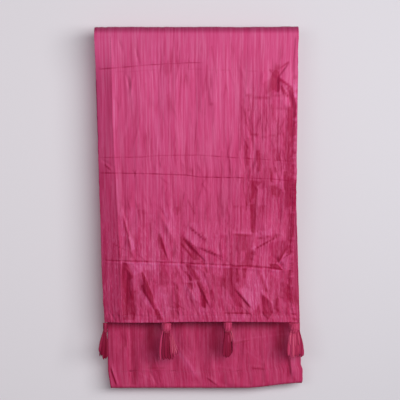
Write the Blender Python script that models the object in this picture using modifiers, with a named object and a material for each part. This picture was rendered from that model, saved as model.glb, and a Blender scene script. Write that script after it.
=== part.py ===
"""Rod pocket curtain panel in crushed taffeta, draped over at its middle.

One cloth hangs in two flaps from a round top fold. The front flap ends in a stitched hem
with four self-fabric tassels, and the longer rear flap ends in a sewn rod pocket.

Frame: the origin is the axis of the top fold, half way across the cloth. X runs across the
cloth, Y points away from the front flap, and Z is up. All lengths are in metres.
"""

import math

import bpy
from mathutils import Vector
from mathutils import noise

# Cloth
CLOTH_WIDTH = 0.362          # across the top fold, side hem to side hem
PLY = 0.0005                 # one layer of the crushed cloth
HEM_PLY = 0.0009             # where the cloth is turned in and stitched
FOLD_RADIUS = 0.0137         # inside of the top fold
FRONT_DROP = 0.507           # fold axis to the front hem's lower edge
REAR_DROP = 0.628            # fold axis to the rod pocket's lower edge
FRONT_HEM = 0.017            # height of the stitched band on the front flap
SIDE_HEM = 0.028             # width of the turned side band at the left edge
POCKET_HEIGHT = 0.032        # rod pocket, from its seam to its lower edge
POCKET_DEPTH = 0.0098        # rod pocket, from layer to layer

# Crushed surface
CRUSH_PITCH = 0.0115         # across the narrow vertical crinkles
CRUSH_RUN = 0.120            # along one crinkle
CRUSH_DEPTH = 0.0036
DRAPE_PITCH = 0.046          # across the soft vertical folds
DRAPE_RUN = 0.300
DRAPE_DEPTH = 0.0045
CALM_HEIGHT = 0.090          # below the top fold, where the crinkles reach their full depth
CALM_SHARE = 0.12            # part of the depth that is left on the top fold itself
POCKET_CALM_SHARE = 0.30     # part of the depth that the stitched rod pocket keeps
FRONT_EDGE_TURN = 0.0075     # how far the front flap's left side band leans back
REAR_EDGE_TURN = 0.0035      # the same on the rear flap, above its pocket
CREASE_DEPTH = 0.0030        # pressed lines across the cloth
CREASE_WIDTH = 0.020
FOLD_RIDGE = 0.0042          # slanting folds on the front flap
FOLD_RIDGE_WIDTH = 0.013

# Edges, as (share of the drop, left inset, right inset) from the width at the top fold
FRONT_EDGES = (
    (0.0, 0.0, 0.0),
    (0.43, 0.0045, 0.0070),
    (0.86, 0.0115, 0.0115),
    (1.0, 0.0175, 0.0055),
)
REAR_EDGES = (
    (0.0, 0.0, 0.0),
    (0.70, 0.0150, 0.0100),
    (0.87, 0.0215, -0.0035),
    (0.95, 0.0225, -0.0045),
    (1.0, 0.0270, -0.0070),
)
FRONT_HEM_WAVE = 0.0018      # rise and fall of the front hem's lower edge
REAR_CORNER_RISE = 0.009     # the rear flap's lower edge is drawn up at its right corner

# Pressed lines, as shares of the front drop, the lowest first
CREASES = (0.794, 0.491, 0.108)

# Slanting folds, as (across, down) to (across, down) in shares of the front flap
SLANTING_FOLDS = (
    ((0.135, 0.60), (0.190, 0.77)),
    ((0.305, 0.60), (0.405, 0.72)),
    ((0.420, 0.66), (0.485, 0.78)),
    ((0.485, 0.73), (0.620, 0.77)),
    ((0.780, 0.76), (0.930, 0.70)),
    ((0.215, 0.82), (0.270, 0.94)),
    ((0.430, 0.84), (0.495, 0.93)),
    ((0.685, 0.86), (0.775, 0.95)),
    ((0.865, 0.10), (0.975, 0.20)),
    ((0.900, 0.15), (0.975, 0.33)),
)

# Tassels, as (place along the front hem, lean, half spread), the last two in tassel lengths
TASSELS = (
    (0.003, -0.08, 0.110),
    (0.322, 0.10, 0.310),
    (0.640, 0.00, 0.132),
    (0.984, 0.05, 0.218),
)
TASSEL_LENGTH = 0.062
TASSEL_DEPTH = 0.0078        # half the depth of a skirt at its lower end
HEAD_HEIGHT = 0.014
HEAD_RADIUS = 0.0072
NECK_RADIUS = 0.0054
NECK_HEIGHT = 0.0032
STRIP_COUNT = 9
STRIP_WIDTH = 0.0052
STRIP_FILL = 0.78            # most of the room round the skirt that a strip takes up
STRIP_FLARE = 1.4            # above 1, the strips open out towards their lower ends
STRIP_THICKNESS = 0.0007
STRIP_ROOT_INSET = 0.0018    # the strips start this far inside the neck's surface
STRIP_STAGGER = 0.0040       # difference in length between neighbouring strips
THREAD_RADIUS = 0.0009       # binding wound round the neck
CLEARANCE = 0.0003           # between pieces that are sewn together

# Mesh density
COLUMNS = 70
FRONT_ROWS = (1, 3, 5, 4, 2) # in the hem, and between the pressed lines up to the fold
FOLD_ROWS = 6
REAR_ROWS = 9
POCKET_ROWS = 2
BEND_ROWS = 4
HEAD_STEPS = 12
STRIP_ROWS = 5
THREAD_SEGMENTS = 16
THREAD_SIDES = 6

CLOTH_COLOUR = (0.52, 0.075, 0.19, 1.0)
TASSEL_COLOUR = (0.42, 0.05, 0.14, 1.0)
THREAD_COLOUR = (0.36, 0.04, 0.12, 1.0)

HALF_WIDTH = CLOTH_WIDTH / 2.0
FLAP_RADIUS = FOLD_RADIUS + HEM_PLY / 2.0
SEAM_DROP = REAR_DROP - POCKET_HEIGHT
BEND_RADIUS = POCKET_DEPTH / 2.0


def clear_scene():
    """Remove every object of the opened scene."""
    for item in list(bpy.data.objects):
        bpy.data.objects.remove(item, do_unlink=True)


def new_collection(name):
    """Add a named collection to the scene."""
    collection = bpy.data.collections.new(name)
    bpy.context.scene.collection.children.link(collection)
    return collection


def move_to(item, collection):
    """Keep an object in one collection only."""
    for holder in list(item.users_collection):
        holder.objects.unlink(item)
    collection.objects.link(item)


def make_material(name, colour, roughness):
    """A plain cloth material."""
    material = bpy.data.materials.new(name)
    material.use_nodes = True
    shader = material.node_tree.nodes["Principled BSDF"]
    shader.inputs["Base Color"].default_value = colour
    shader.inputs["Roughness"].default_value = roughness
    shader.inputs["Metallic"].default_value = 0.0
    return material


def smooth_step(value):
    """Ease from 0 to 1 with flat ends."""
    value = min(max(value, 0.0), 1.0)
    return value * value * (3.0 - 2.0 * value)


def edge_insets(edges, share):
    """Left and right inset of the cloth's edges at a share of a flap's drop."""
    for low, high in zip(edges, edges[1:]):
        if share <= high[0]:
            part = smooth_step((share - low[0]) / (high[0] - low[0]))
            left = low[1] + (high[1] - low[1]) * part
            right = low[2] + (high[2] - low[2]) * part
            return left, right
    return edges[-1][1], edges[-1][2]


def across_to_x(across, edges, share):
    """Place across the cloth, 0 at the left edge and 1 at the right, as an x coordinate."""
    left, right = edge_insets(edges, share)
    low = -HALF_WIDTH + left
    high = HALF_WIDTH - right
    return low + (high - low) * across


def line_distance(point, start, end):
    """Distance from a point to a line segment, and the share along it of the nearest place."""
    run = end - start
    share = min(max((point - start).dot(run) / run.length_squared, 0.0), 1.0)
    return (point - (start + run * share)).length, share


def crush(across, drop, flap):
    """Depth of the vertical crinkles and soft folds, at a drop below the fold axis."""
    calm = CALM_SHARE + (1.0 - CALM_SHARE) * smooth_step(drop / CALM_HEIGHT)
    x = across * CLOTH_WIDTH
    fine = noise.noise(Vector((x / CRUSH_PITCH, drop / CRUSH_RUN, flap)))
    soft = noise.noise(Vector((x / DRAPE_PITCH, drop / DRAPE_RUN, flap + 5.0)))
    return calm * (CRUSH_DEPTH * fine + DRAPE_DEPTH * soft)


def side_band(across, drop):
    """How much the left side band leans, 1 at its edge and nothing at the fold."""
    lean = smooth_step(1.0 - across * CLOTH_WIDTH / SIDE_HEM)
    return lean * smooth_step(drop / CALM_HEIGHT)


def near_pocket(drop):
    """Ease from 0 well above the rod pocket's seam to 1 at the seam and below it."""
    return smooth_step(1.0 - (SEAM_DROP - drop) / CALM_HEIGHT)


def front_relief(across, share):
    """Depth of the pressed lines and slanting folds on the front flap."""
    place = Vector((across * CLOTH_WIDTH, share * FRONT_DROP))
    relief = 0.0
    for crease in CREASES:
        distance = abs(share - crease) * FRONT_DROP
        relief -= CREASE_DEPTH * smooth_step(1.0 - distance / CREASE_WIDTH)
    for start, end in SLANTING_FOLDS:
        start_place = Vector((start[0] * CLOTH_WIDTH, start[1] * FRONT_DROP))
        end_place = Vector((end[0] * CLOTH_WIDTH, end[1] * FRONT_DROP))
        distance, along = line_distance(place, start_place, end_place)
        fade = math.sin(math.pi * (0.15 + 0.7 * along))
        relief += FOLD_RIDGE * fade * smooth_step(1.0 - distance / FOLD_RIDGE_WIDTH)
    return relief


def front_hem_drop(across):
    """Drop of the front hem's lower edge."""
    return FRONT_DROP + FRONT_HEM_WAVE * math.cos(2.0 * math.tau * (across - 0.03))


def rear_edge_rise(across, share):
    """How far the rear flap is drawn up towards its right corner."""
    return REAR_CORNER_RISE * smooth_step((across - 0.70) / 0.30) * smooth_step(share)


def front_point(across, share):
    """Place on the front flap, share 0 at the fold and 1 at the hem."""
    drop = share * front_hem_drop(across)
    depth = crush(across, drop, 0.0) + front_relief(across, share)
    x = across_to_x(across, FRONT_EDGES, share)
    lean = FRONT_EDGE_TURN * side_band(across, drop)
    return Vector((x, -FLAP_RADIUS - depth + lean, -drop))


def fold_point(across, angle):
    """Place on the top fold, angle 0 at the front flap and pi at the rear flap."""
    radius = FLAP_RADIUS + crush(across, 0.0, 0.0)
    x = across_to_x(across, FRONT_EDGES, 0.0)
    return Vector((x, -radius * math.cos(angle), radius * math.sin(angle)))


def rear_point(across, drop, behind=0.0):
    """Place on the rear flap, behind is the distance to the pocket's back layer."""
    share = drop / REAR_DROP
    blend = smooth_step(drop / CALM_HEIGHT)
    depth = crush(across, drop, 0.0) * (1.0 - blend) + crush(across, drop, 9.0) * blend
    depth *= 1.0 - (1.0 - POCKET_CALM_SHARE) * near_pocket(drop)
    lean = REAR_EDGE_TURN * side_band(across, drop) * (1.0 - near_pocket(drop))
    x = across_to_x(across, REAR_EDGES, share)
    y = FLAP_RADIUS + depth - lean + behind
    return Vector((x, y, rear_edge_rise(across, share) - drop))


def pocket_front_point(across, share):
    """Front layer of the rod pocket, share 0 at the seam and 1 at the lower bend."""
    return rear_point(across, SEAM_DROP + share * (POCKET_HEIGHT - BEND_RADIUS))


def pocket_bend_point(across, angle):
    """Lower bend of the rod pocket, angle 0 at the front layer and pi at the back layer."""
    drop = REAR_DROP - BEND_RADIUS + BEND_RADIUS * math.sin(angle)
    return rear_point(across, drop, BEND_RADIUS * (1.0 - math.cos(angle)))


def pocket_back_point(across, share):
    """Back layer of the rod pocket, share 0 at the lower bend and 1 at the seam."""
    drop = REAR_DROP - BEND_RADIUS - share * (POCKET_HEIGHT - BEND_RADIUS)
    return rear_point(across, drop, POCKET_DEPTH * math.sqrt(1.0 - share))


def cloth_rows():
    """One function of the place across for each row of the cloth, from hem to pocket seam."""
    rows = []
    stops = (1.0, 1.0 - FRONT_HEM / FRONT_DROP) + CREASES + (0.0,)
    for low, high, count in zip(stops, stops[1:], FRONT_ROWS):
        for step in range(count):
            rows.append((front_point, low + (high - low) * step / count))
    for step in range(FOLD_ROWS):
        rows.append((fold_point, math.pi * step / FOLD_ROWS))
    for step in range(REAR_ROWS):
        rows.append((rear_point, SEAM_DROP * step / REAR_ROWS))
    seam_row = len(rows)
    for step in range(POCKET_ROWS):
        rows.append((pocket_front_point, step / POCKET_ROWS))
    for step in range(BEND_ROWS):
        rows.append((pocket_bend_point, math.pi * step / BEND_ROWS))
    for step in range(POCKET_ROWS):
        rows.append((pocket_back_point, step / POCKET_ROWS))
    rows.append(rows[seam_row])
    return rows


def mapped_grid(name, columns, rows, place):
    """A primitive grid whose corners are moved to place(across, row)."""
    bpy.ops.mesh.primitive_grid_add(x_subdivisions=columns, y_subdivisions=rows, size=2.0)
    item = bpy.context.object
    item.name = name
    item.data.name = name
    for vertex in item.data.vertices:
        across = (vertex.co.x + 1.0) / 2.0
        row = round((vertex.co.y + 1.0) / 2.0 * rows)
        vertex.co = place(across, row)
    return item


def add_weld(item):
    """Merge corners that share a place."""
    weld = item.modifiers.new("Weld", "WELD")
    weld.merge_threshold = 0.00001


def hem_weights(item):
    """Weight 1 where the cloth is turned in, and the single ply's share elsewhere."""
    group = item.vertex_groups.new(name="plies")
    for index in range(len(item.data.vertices)):
        row, column = divmod(index, COLUMNS + 1)
        in_side_hem = column / COLUMNS <= SIDE_HEM / CLOTH_WIDTH
        in_front_hem = row <= FRONT_ROWS[0]
        weight = 1.0 if in_side_hem or in_front_hem else PLY / HEM_PLY
        group.add([index], weight, "REPLACE")
    return group


def make_panel(collection, material):
    """The whole cloth: front flap, top fold, rear flap and rod pocket."""
    rows = cloth_rows()

    def place(across, row):
        function, value = rows[row]
        return function(across, value)

    panel = mapped_grid("curtain_panel", COLUMNS, len(rows) - 1, place)
    group = hem_weights(panel)
    add_weld(panel)
    plies = panel.modifiers.new("Plies", "SOLIDIFY")
    plies.solidify_mode = "NON_MANIFOLD"
    plies.nonmanifold_thickness_mode = "EVEN"
    plies.nonmanifold_merge_threshold = 0.00001
    plies.thickness = HEM_PLY
    plies.offset = 0.0
    plies.vertex_group = group.name
    panel.data.materials.append(material)
    panel.data.shade_smooth()
    move_to(panel, collection)
    return panel


def tassel_top(across):
    """Top of a tassel's head, sewn just under the front hem's lower edge."""
    edge = front_point(across, 1.0)
    return edge - Vector((0.0, 0.0, HEM_PLY / 2.0 + CLEARANCE))


def make_head(name, material):
    """Rolled head and neck of a tassel, as a turned profile that hangs from its top."""
    shoulder = HEAD_HEIGHT * 0.35
    profile = []
    for step in range(4):
        angle = math.pi / 2.0 * step / 3
        profile.append((HEAD_RADIUS * math.sin(angle), shoulder * (math.cos(angle) - 1.0)))
    profile.append((HEAD_RADIUS * 0.94, -HEAD_HEIGHT * 0.75))
    profile.append((NECK_RADIUS, -HEAD_HEIGHT))
    profile.append((NECK_RADIUS, -HEAD_HEIGHT - NECK_HEIGHT))
    profile.append((0.0, -HEAD_HEIGHT - NECK_HEIGHT))
    mesh = bpy.data.meshes.new(name)
    corners = [(x, 0.0, z) for x, z in profile]
    edges = [(index, index + 1) for index in range(len(corners) - 1)]
    mesh.from_pydata(corners, edges, [])
    head = bpy.data.objects.new(name, mesh)
    bpy.context.scene.collection.objects.link(head)
    turn = head.modifiers.new("Turn", "SCREW")
    turn.axis = "Z"
    turn.steps = HEAD_STEPS
    turn.render_steps = HEAD_STEPS
    turn.use_merge_vertices = True
    turn.merge_threshold = 0.00001
    head.data.materials.append(material)
    return head


def strip_point(across, down, angle, lean, spread, length):
    """Place on one cut strip of a skirt, measured from the top of the tassel's head."""
    root = NECK_RADIUS - STRIP_ROOT_INSET
    opening = down ** STRIP_FLARE
    reach_x = root + (spread - root) * opening
    reach_y = root + (min(spread, TASSEL_DEPTH) - root) * opening
    middle = Vector((reach_x * math.cos(angle), reach_y * math.sin(angle), 0.0))
    tangent = Vector((-reach_x * math.sin(angle), reach_y * math.cos(angle), 0.0))
    room = tangent.length * math.tau / STRIP_COUNT
    width = min(STRIP_WIDTH, STRIP_FILL * room)
    top = -HEAD_HEIGHT - NECK_HEIGHT / 2.0
    drop = Vector((lean * opening, 0.0, top - (top + length) * down))
    return middle + tangent.normalized() * width * (across - 0.5) + drop


def make_strips(name, lean, spread, collection):
    """The cut strips of one skirt, as a guide that the head is joined with."""
    pieces = []
    for number in range(STRIP_COUNT):
        angle = math.tau * (number + 0.25) / STRIP_COUNT
        length = TASSEL_LENGTH - STRIP_STAGGER * (number % 2)

        def place(across, row):
            return strip_point(across, row / STRIP_ROWS, angle, lean, spread, length)

        pieces.append(mapped_grid(name, 1, STRIP_ROWS, place))
    bpy.ops.object.select_all(action="DESELECT")
    for piece in pieces:
        piece.select_set(True)
    bpy.context.view_layer.objects.active = pieces[0]
    bpy.ops.object.join()
    strips = pieces[0]
    thicken = strips.modifiers.new("Thickness", "SOLIDIFY")
    thicken.thickness = STRIP_THICKNESS
    thicken.offset = 0.0
    strips.hide_render = True
    strips.display_type = "WIRE"
    move_to(strips, collection)
    return strips


def make_tassel(number, setting, collection, cutters, material, thread):
    """One tassel: a rolled head with cut strips, and the thread that binds its neck."""
    across, lean, spread = setting
    name = "tassel_{}".format(number)
    top = tassel_top(across)
    strips = make_strips(
        name + "_strips", lean * TASSEL_LENGTH, spread * TASSEL_LENGTH, cutters
    )
    strips.location = top
    head = make_head(name, material)
    head.location = top
    join = head.modifiers.new("Strips", "BOOLEAN")
    join.operation = "UNION"
    join.solver = "EXACT"
    join.object = strips
    move_to(head, collection)
    ring_radius = NECK_RADIUS + CLEARANCE + THREAD_RADIUS
    bpy.ops.mesh.primitive_torus_add(
        major_segments=THREAD_SEGMENTS,
        minor_segments=THREAD_SIDES,
        major_radius=ring_radius,
        minor_radius=THREAD_RADIUS,
        location=top - Vector((0.0, 0.0, HEAD_HEIGHT + NECK_HEIGHT / 2.0)),
    )
    binding = bpy.context.object
    binding.name = name + "_binding"
    binding.data.name = binding.name
    binding.data.materials.append(thread)
    binding.data.shade_smooth()
    move_to(binding, collection)


def main():
    clear_scene()
    collection = new_collection("rod_pocket_curtain")
    cutters = new_collection("cutters")
    cloth = make_material("crushed_taffeta", CLOTH_COLOUR, 0.45)
    strip_cloth = make_material("tassel_taffeta", TASSEL_COLOUR, 0.5)
    thread = make_material("binding_thread", THREAD_COLOUR, 0.6)
    make_panel(collection, cloth)
    for number, setting in enumerate(TASSELS, start=1):
        make_tassel(number, setting, collection, cutters, strip_cloth, thread)


main()
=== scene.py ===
"""Looks of the crushed taffeta rod pocket curtain: its cloth, seams, tassels and studio.

All places are in metres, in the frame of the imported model: the origin is the axis of the
top fold, X runs across the cloth, Y points away from the front flap, and Z is up. Places in
picture pixels are columns from the left and rows from the top.
"""

import math
import random

import bpy
import numpy as np
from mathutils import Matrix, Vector
from mathutils import noise


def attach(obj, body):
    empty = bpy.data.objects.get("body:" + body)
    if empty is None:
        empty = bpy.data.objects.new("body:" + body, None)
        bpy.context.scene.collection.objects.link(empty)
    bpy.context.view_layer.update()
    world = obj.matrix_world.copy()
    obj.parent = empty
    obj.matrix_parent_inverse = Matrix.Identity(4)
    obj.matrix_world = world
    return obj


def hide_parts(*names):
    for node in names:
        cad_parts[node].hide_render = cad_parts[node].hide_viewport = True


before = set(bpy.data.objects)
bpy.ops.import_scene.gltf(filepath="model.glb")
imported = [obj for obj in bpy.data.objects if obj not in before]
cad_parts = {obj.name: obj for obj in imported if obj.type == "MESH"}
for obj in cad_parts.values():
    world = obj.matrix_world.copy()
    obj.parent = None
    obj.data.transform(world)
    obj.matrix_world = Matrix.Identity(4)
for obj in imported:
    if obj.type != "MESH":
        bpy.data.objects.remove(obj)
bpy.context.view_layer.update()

# Sizes shared with the part's source
CLOTH_WIDTH = 0.362
HALF_WIDTH = CLOTH_WIDTH / 2.0
FLAP_RADIUS = 0.01415
FRONT_DROP = 0.507
REAR_DROP = 0.628
POCKET_HEIGHT = 0.032
POCKET_DEPTH = 0.0098
BEND_RADIUS = POCKET_DEPTH / 2.0
SEAM_DROP = REAR_DROP - POCKET_HEIGHT
SIDE_HEM = 0.028
CRUSH_PITCH = 0.0115
CRUSH_RUN = 0.120
CRUSH_DEPTH = 0.0036
DRAPE_PITCH = 0.046
DRAPE_RUN = 0.300
DRAPE_DEPTH = 0.0045
CALM_HEIGHT = 0.090
CALM_SHARE = 0.12
POCKET_CALM_SHARE = 0.30
CRUSH_SHARE = 0.24           # part of the source's wide crinkles, the fine ones do the rest
DRAPE_SHARE = 0.80
FRONT_EDGE_TURN = 0.0105
REAR_EDGE_TURN = 0.0035
REAR_CORNER_RISE = 0.009
FLAT_LENGTH = 1.25
# Tassels: place along the front hem, then lean and half spread in tassel lengths
TASSELS = (
    (0.003, -0.08, 0.110), (0.322, 0.10, 0.310), (0.640, 0.00, 0.132), (0.984, 0.05, 0.218),
)
TASSEL_LENGTH = 0.062
HEAD_HEIGHT = 0.014
HEAD_RADIUS = 0.0072
NECK_HEIGHT = 0.0032
TASSEL_DEPTH = 0.0078
CLEARANCE = 0.00075

# Camera, and the picture's scale on the two flaps
PICTURE_SIZE = 400
CAMERA_X = 0.0053
CAMERA_Y = -2.2145
CAMERA_Z = -0.2912
SENSOR = 36.0
FRONT_PIXEL = 0.001765
REAR_PIXEL = 0.0017876
LENS = SENSOR * (-FLAP_RADIUS - CAMERA_Y) / (FRONT_PIXEL * PICTURE_SIZE)

# Edges of the flaps: picture row, then column of the left and of the right edge
FRONT_EDGE_PLACES = (
    (28, 94.0, 299.0), (62, 95.2, 297.2), (110, 97.0, 296.8), (158, 98.2, 295.8),
    (170, 98.4, 296.8), (218, 100.0, 295.0), (266, 101.3, 293.2), (290, 102.3, 293.0),
    (302, 103.0, 294.0), (314, 103.8, 296.0), (323, 104.2, 297.4),
)
REAR_EDGE_PLACES = (
    (28, 94.5, 298.5), (200, 100.0, 296.0), (325, 107.8, 299.5), (357, 108.0, 300.5),
    (369, 108.2, 300.7), (374, 108.8, 302.4), (384, 110.2, 302.4), (389, 111.2, 301.5),
)
# Wobble of the left and of the right edge: depth, length along it, layer of its noise
FRONT_WOBBLES = ((0.0009, 0.021, 31.0), (0.0012, 0.013, 37.0))
REAR_WOBBLES = ((0.0007, 0.019, 41.0), (0.0007, 0.015, 43.0))
REAR_EDGE_START = 0.05
# Inner boundary of the side band: picture row, then column
BAND_PLACES = ((30, 112.0), (120, 113.2), (175, 116.2), (210, 118.0), (256, 120.6), (323, 123.0))

# Pressed lines across the front flap, that its rows of faces follow
LINE_TOP = ((94, 69.0), (112, 68.0), (150, 64.6), (190, 62.6), (300, 61.5))
LINE_UPPER = ((94, 157.5), (141, 157.0), (160, 155.5), (199, 155.0), (233, 157.5), (297, 161.8))
LINE_MIDDLE = (
    (94, 172.6), (147, 173.5), (187, 175.0), (200, 177.0), (236, 177.5), (273, 179.0), (297, 181.6)
)
LINE_LOWER = ((94, 260.0), (160, 261.7), (229, 265.0), (279, 268.7), (300, 270.0))
LINE_GUIDES = (LINE_TOP, LINE_UPPER, LINE_MIDDLE, LINE_LOWER)
HEM_PLACES = ((100, 322.6), (158, 322.4), (176, 321.9), (215, 321.5), (290, 322.0), (300, 322.6))
HEM_START = 0.0175
HEM_SHORTER = 0.023
HEM_WOBBLE = (0.0004, 0.013, 33.0)
STITCH_RISE = 0.0134
ROWS_BETWEEN = (22, 58, 16, 62, 46, 9)

COLUMNS = 270
CURL_RADIUS = 0.00045
CURL_RETURN = 0.0012
FOLD_ROWS = 14
REAR_HIDDEN_ROWS = 56
REAR_SHOWN_ROWS = 44
REAR_SHOWN_DROP = 0.498
REAR_CRUMPLED = 0.40
POCKET_ROWS = 12
POCKET_GAP = 0.0006
BEND_ROWS = 7

# Noise of the fine crinkles: size across, size down, layer
WANDER_NOISE = (0.026, 0.070, 2.0)
WIDE_NOISE = (0.0100, 0.120, 3.0)
NARROW_NOISE = (0.0052, 0.060, 4.0)
GATE_NOISE = (0.012, 0.035, 8.0)
PATCH_NOISE = (0.06, 0.10, 6.0)
SWELL_NOISE = (0.0042, 0.055, 11.0)
WANDER = 0.0020
WIDE_DEPTH = 0.00036
NARROW_DEPTH = 0.00026
SWELL_DEPTH = 0.00020

# Where marks begin and the length over which they grow, across the cloth or down it
CRUMPLED_LOW = (0.275, 0.11)
CRUMPLED_RIGHT = (0.060, 0.045)
CRUMPLED_DOWN = (0.06, 0.05)
CRUMPLED_FAN = (0.215, 0.05)
DEEP_RIGHT = (0.055, 0.04)
DEEP_DOWN = (0.09, 0.08)
PUCKERS_DOWN = (0.05, 0.05)
REAR_SHOWN = (0.49, 0.02)

# Relief of the front flap's hems and puckers, and of the top fold's gathers
STEP_SOFTNESS = 0.0016
HEM_STEP = 0.0009
RIGHT_HEM = 0.0062
RIGHT_SOFTNESS = 0.0014
PUCKER_ZONE = 0.013
PUCKER_GROWTH = 0.008
PUCKER_DEPTH = 0.0021
PUCKER_PITCH = 0.0042
HEM_PUCKER_DEPTH = 0.0015
HEM_PUCKER_PITCH = 0.0050
HEM_PUCKER_RUN = 0.014
HEM_PUCKER_REACH = 0.0060
STITCH_DENT = 0.0006
STITCH_DENT_DROP = 0.0016
STITCH_DENT_WIDTH = 0.0011
SEAM_DENT = 0.0002
SEAM_DENT_WIDTH = 0.0012
FOLD_LIFT = 0.0022
GATHER_PITCH = 0.0075
GATHER_TURN = 2.4
GATHER_DEPTH = 0.0004
LEFT_GATHER_DEPTH = 0.0012
LEFT_GATHER_END = 0.10
BUMP_PLACE = 0.955
BUMP_REACH = 0.05
BUMP_HEIGHT = 0.0009

# Pressed lines across the front flap: line, step where the cloth above overhangs, groove,
# ridge below, all in metres, and the ends in picture columns
PRESSED_LINES = (
    (LINE_TOP, 0.00120, 0.00030, 0.00000, 97, 205),
    (((112, 71.5), (130, 71.5), (172, 68.5), (262, 71.0)), 0.00035, 0.00010, 0.0, 110, 262),
    (((247, 95.5), (263, 97.0), (276, 94.0)), 0.00110, 0.00030, 0.00010, 245, 278),
    (((256, 107.7), (297, 107.7)), 0.00080, 0.00020, 0.00020, 256, 298),
    (((195, 101.5), (217, 105.0)), 0.00060, 0.00020, 0.0, 193, 219),
    (((249, 133.8), (266, 136.5)), 0.00110, 0.00030, 0.00020, 247, 269),
    (((207, 129.0), (236, 131.0)), 0.00040, 0.00010, 0.0, 200, 240),
    (LINE_UPPER, 0.00065, 0.00020, 0.00015, 96, 296),
    (LINE_MIDDLE, 0.00120, 0.00030, 0.00015, 97, 298),
    (((126, 205.7), (146, 205.7)), 0.00060, 0.00020, 0.00010, 124, 149),
    (((234, 206.0), (280, 206.0)), 0.00050, 0.00020, 0.00010, 232, 283),
    (LINE_LOWER, 0.00110, 0.00070, 0.00110, 102, 291),
    (((128, 276.5), (199, 281.0)), 0.00010, 0.00010, 0.00080, 124, 204),
    (((213, 237.0), (230, 233.5), (253, 234.5), (284, 235.0)), 0.00070, 0.0, 0.00070, 210, 287),
)
OVERHANG = 0.0060
LINE_WIDTH = 0.0011
LINE_FADE = 0.012
DARK_STEP = 0.0013
LINE_PATCH = 0.014
LINE_LAYERS = 9000.0

# Slanting folds in picture pixels: start, end, height in metres, width to the left and right
FOLDS = (
    (122, 208, 134, 257, 0.0016, 6.0, 0.9), (157, 208, 177, 242, 0.0018, 7.0, 0.9),
    (160, 236, 169, 261, 0.0013, 1.0, 4.0), (181, 236, 195, 259, -0.0018, 0.9, 6.0),
    (181, 236, 207, 262, 0.002, 1.0, 7.0), (187, 224, 207, 241, 0.0016, 1.0, 5.0),
    (194, 245, 222, 257, 0.0022, 0.9, 5.5), (197, 249, 205, 269, -0.0016, 1.0, 4.0),
    (221, 238, 223, 261, 0.0018, 3.0, 1.0), (251, 252, 282, 235, 0.002, 1.0, 7.0),
    (271, 255, 285, 271, -0.0022, 1.2, 4.0), (286, 253, 271, 270, 0.0018, 4.0, 1.2),
    (277, 263, 292, 253, 0.0022, 1.0, 6.0), (143, 273, 156, 307, 0.0024, 6.5, 1.0),
    (142, 284, 153, 307, 0.0012, 1.0, 3.0), (185, 281, 198, 303, 0.0018, 5.5, 1.0),
    (197, 281, 211, 308, 0.0018, 1.0, 5.0), (234, 287, 252, 308, 0.0026, 1.0, 9.0),
    (260, 290, 273, 304, 0.0016, 5.0, 1.0), (125, 266, 134, 278, 0.0012, 3.0, 1.0),
    (127, 266, 125, 316, -0.0026, 5.0, 6.5), (269.6, 70.4, 278.5, 78.5, 0.0006, 1.0, 3.5),
    (289, 62.0, 276.5, 78.0, -0.002, 2.5, 1.2), (279.0, 78.0, 291.0, 89.0, 0.0024, 5.0, 1.0),
    (281, 88.5, 287.5, 97.0, 0.0014, 1.0, 3.0), (287, 89, 295, 110, -0.0024, 4.0, 2.0),
    (294, 107, 292, 132, -0.002, 3.5, 2.5), (277, 74, 277, 96, -0.002, 5.5, 2.0),
    (247, 112, 252, 150, -0.0014, 1.0, 3.5), (118, 40, 122, 52, -0.001, 1.0, 3.0),
    (135, 48, 139, 66, -0.001, 1.0, 3.0), (126, 74, 129, 90, -0.0011, 1.0, 3.2),
    (133, 76, 131, 98, 0.001, 3.2, 1.0), (108, 310, 115, 322, -0.0011, 1.0, 1.8),
    (101, 160, 111, 166, -0.0011, 1.0, 1.8), (104, 163, 112, 170, 0.001, 1.0, 2.0),
)
REAR_FOLDS = (
    (168, 330, 202, 387, 0.0006, 1.6, 2.6), (178, 350, 201, 385, 0.001, 9.0, 9.0),
    (206, 376, 221, 387, 0.0012, 1.0, 3.0), (129.5, 326, 131, 390, -0.0034, 2.6, 8.0),
    (111, 366, 118, 387, 0.0018, 1.2, 2.4), (240, 332, 236, 386, -0.0014, 3.0, 4.6),
    (262, 340, 268, 388, 0.0012, 4.0, 2.4), (290, 356, 292, 376, 0.0022, 2.0, 8.0),
    (144, 369.5, 169, 369.0, 0.001, 1.2, 1.6), (150, 372, 158, 388, -0.001, 1.2, 3.0),
    (250, 367, 266, 368, 0.001, 1.2, 1.6), (232, 345, 252, 341, 0.001, 1.2, 2.4),
)
CREASE_NARROW = (0.0010, 0.0018)
CREASE_WIDE = (0.0035, 0.0090)
STEEP_LEFT = 0.62
STEEP_WIDTH = 0.0026
STEEP_HEIGHT = 0.0014
FOLD_STRENGTH = 1.20

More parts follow.
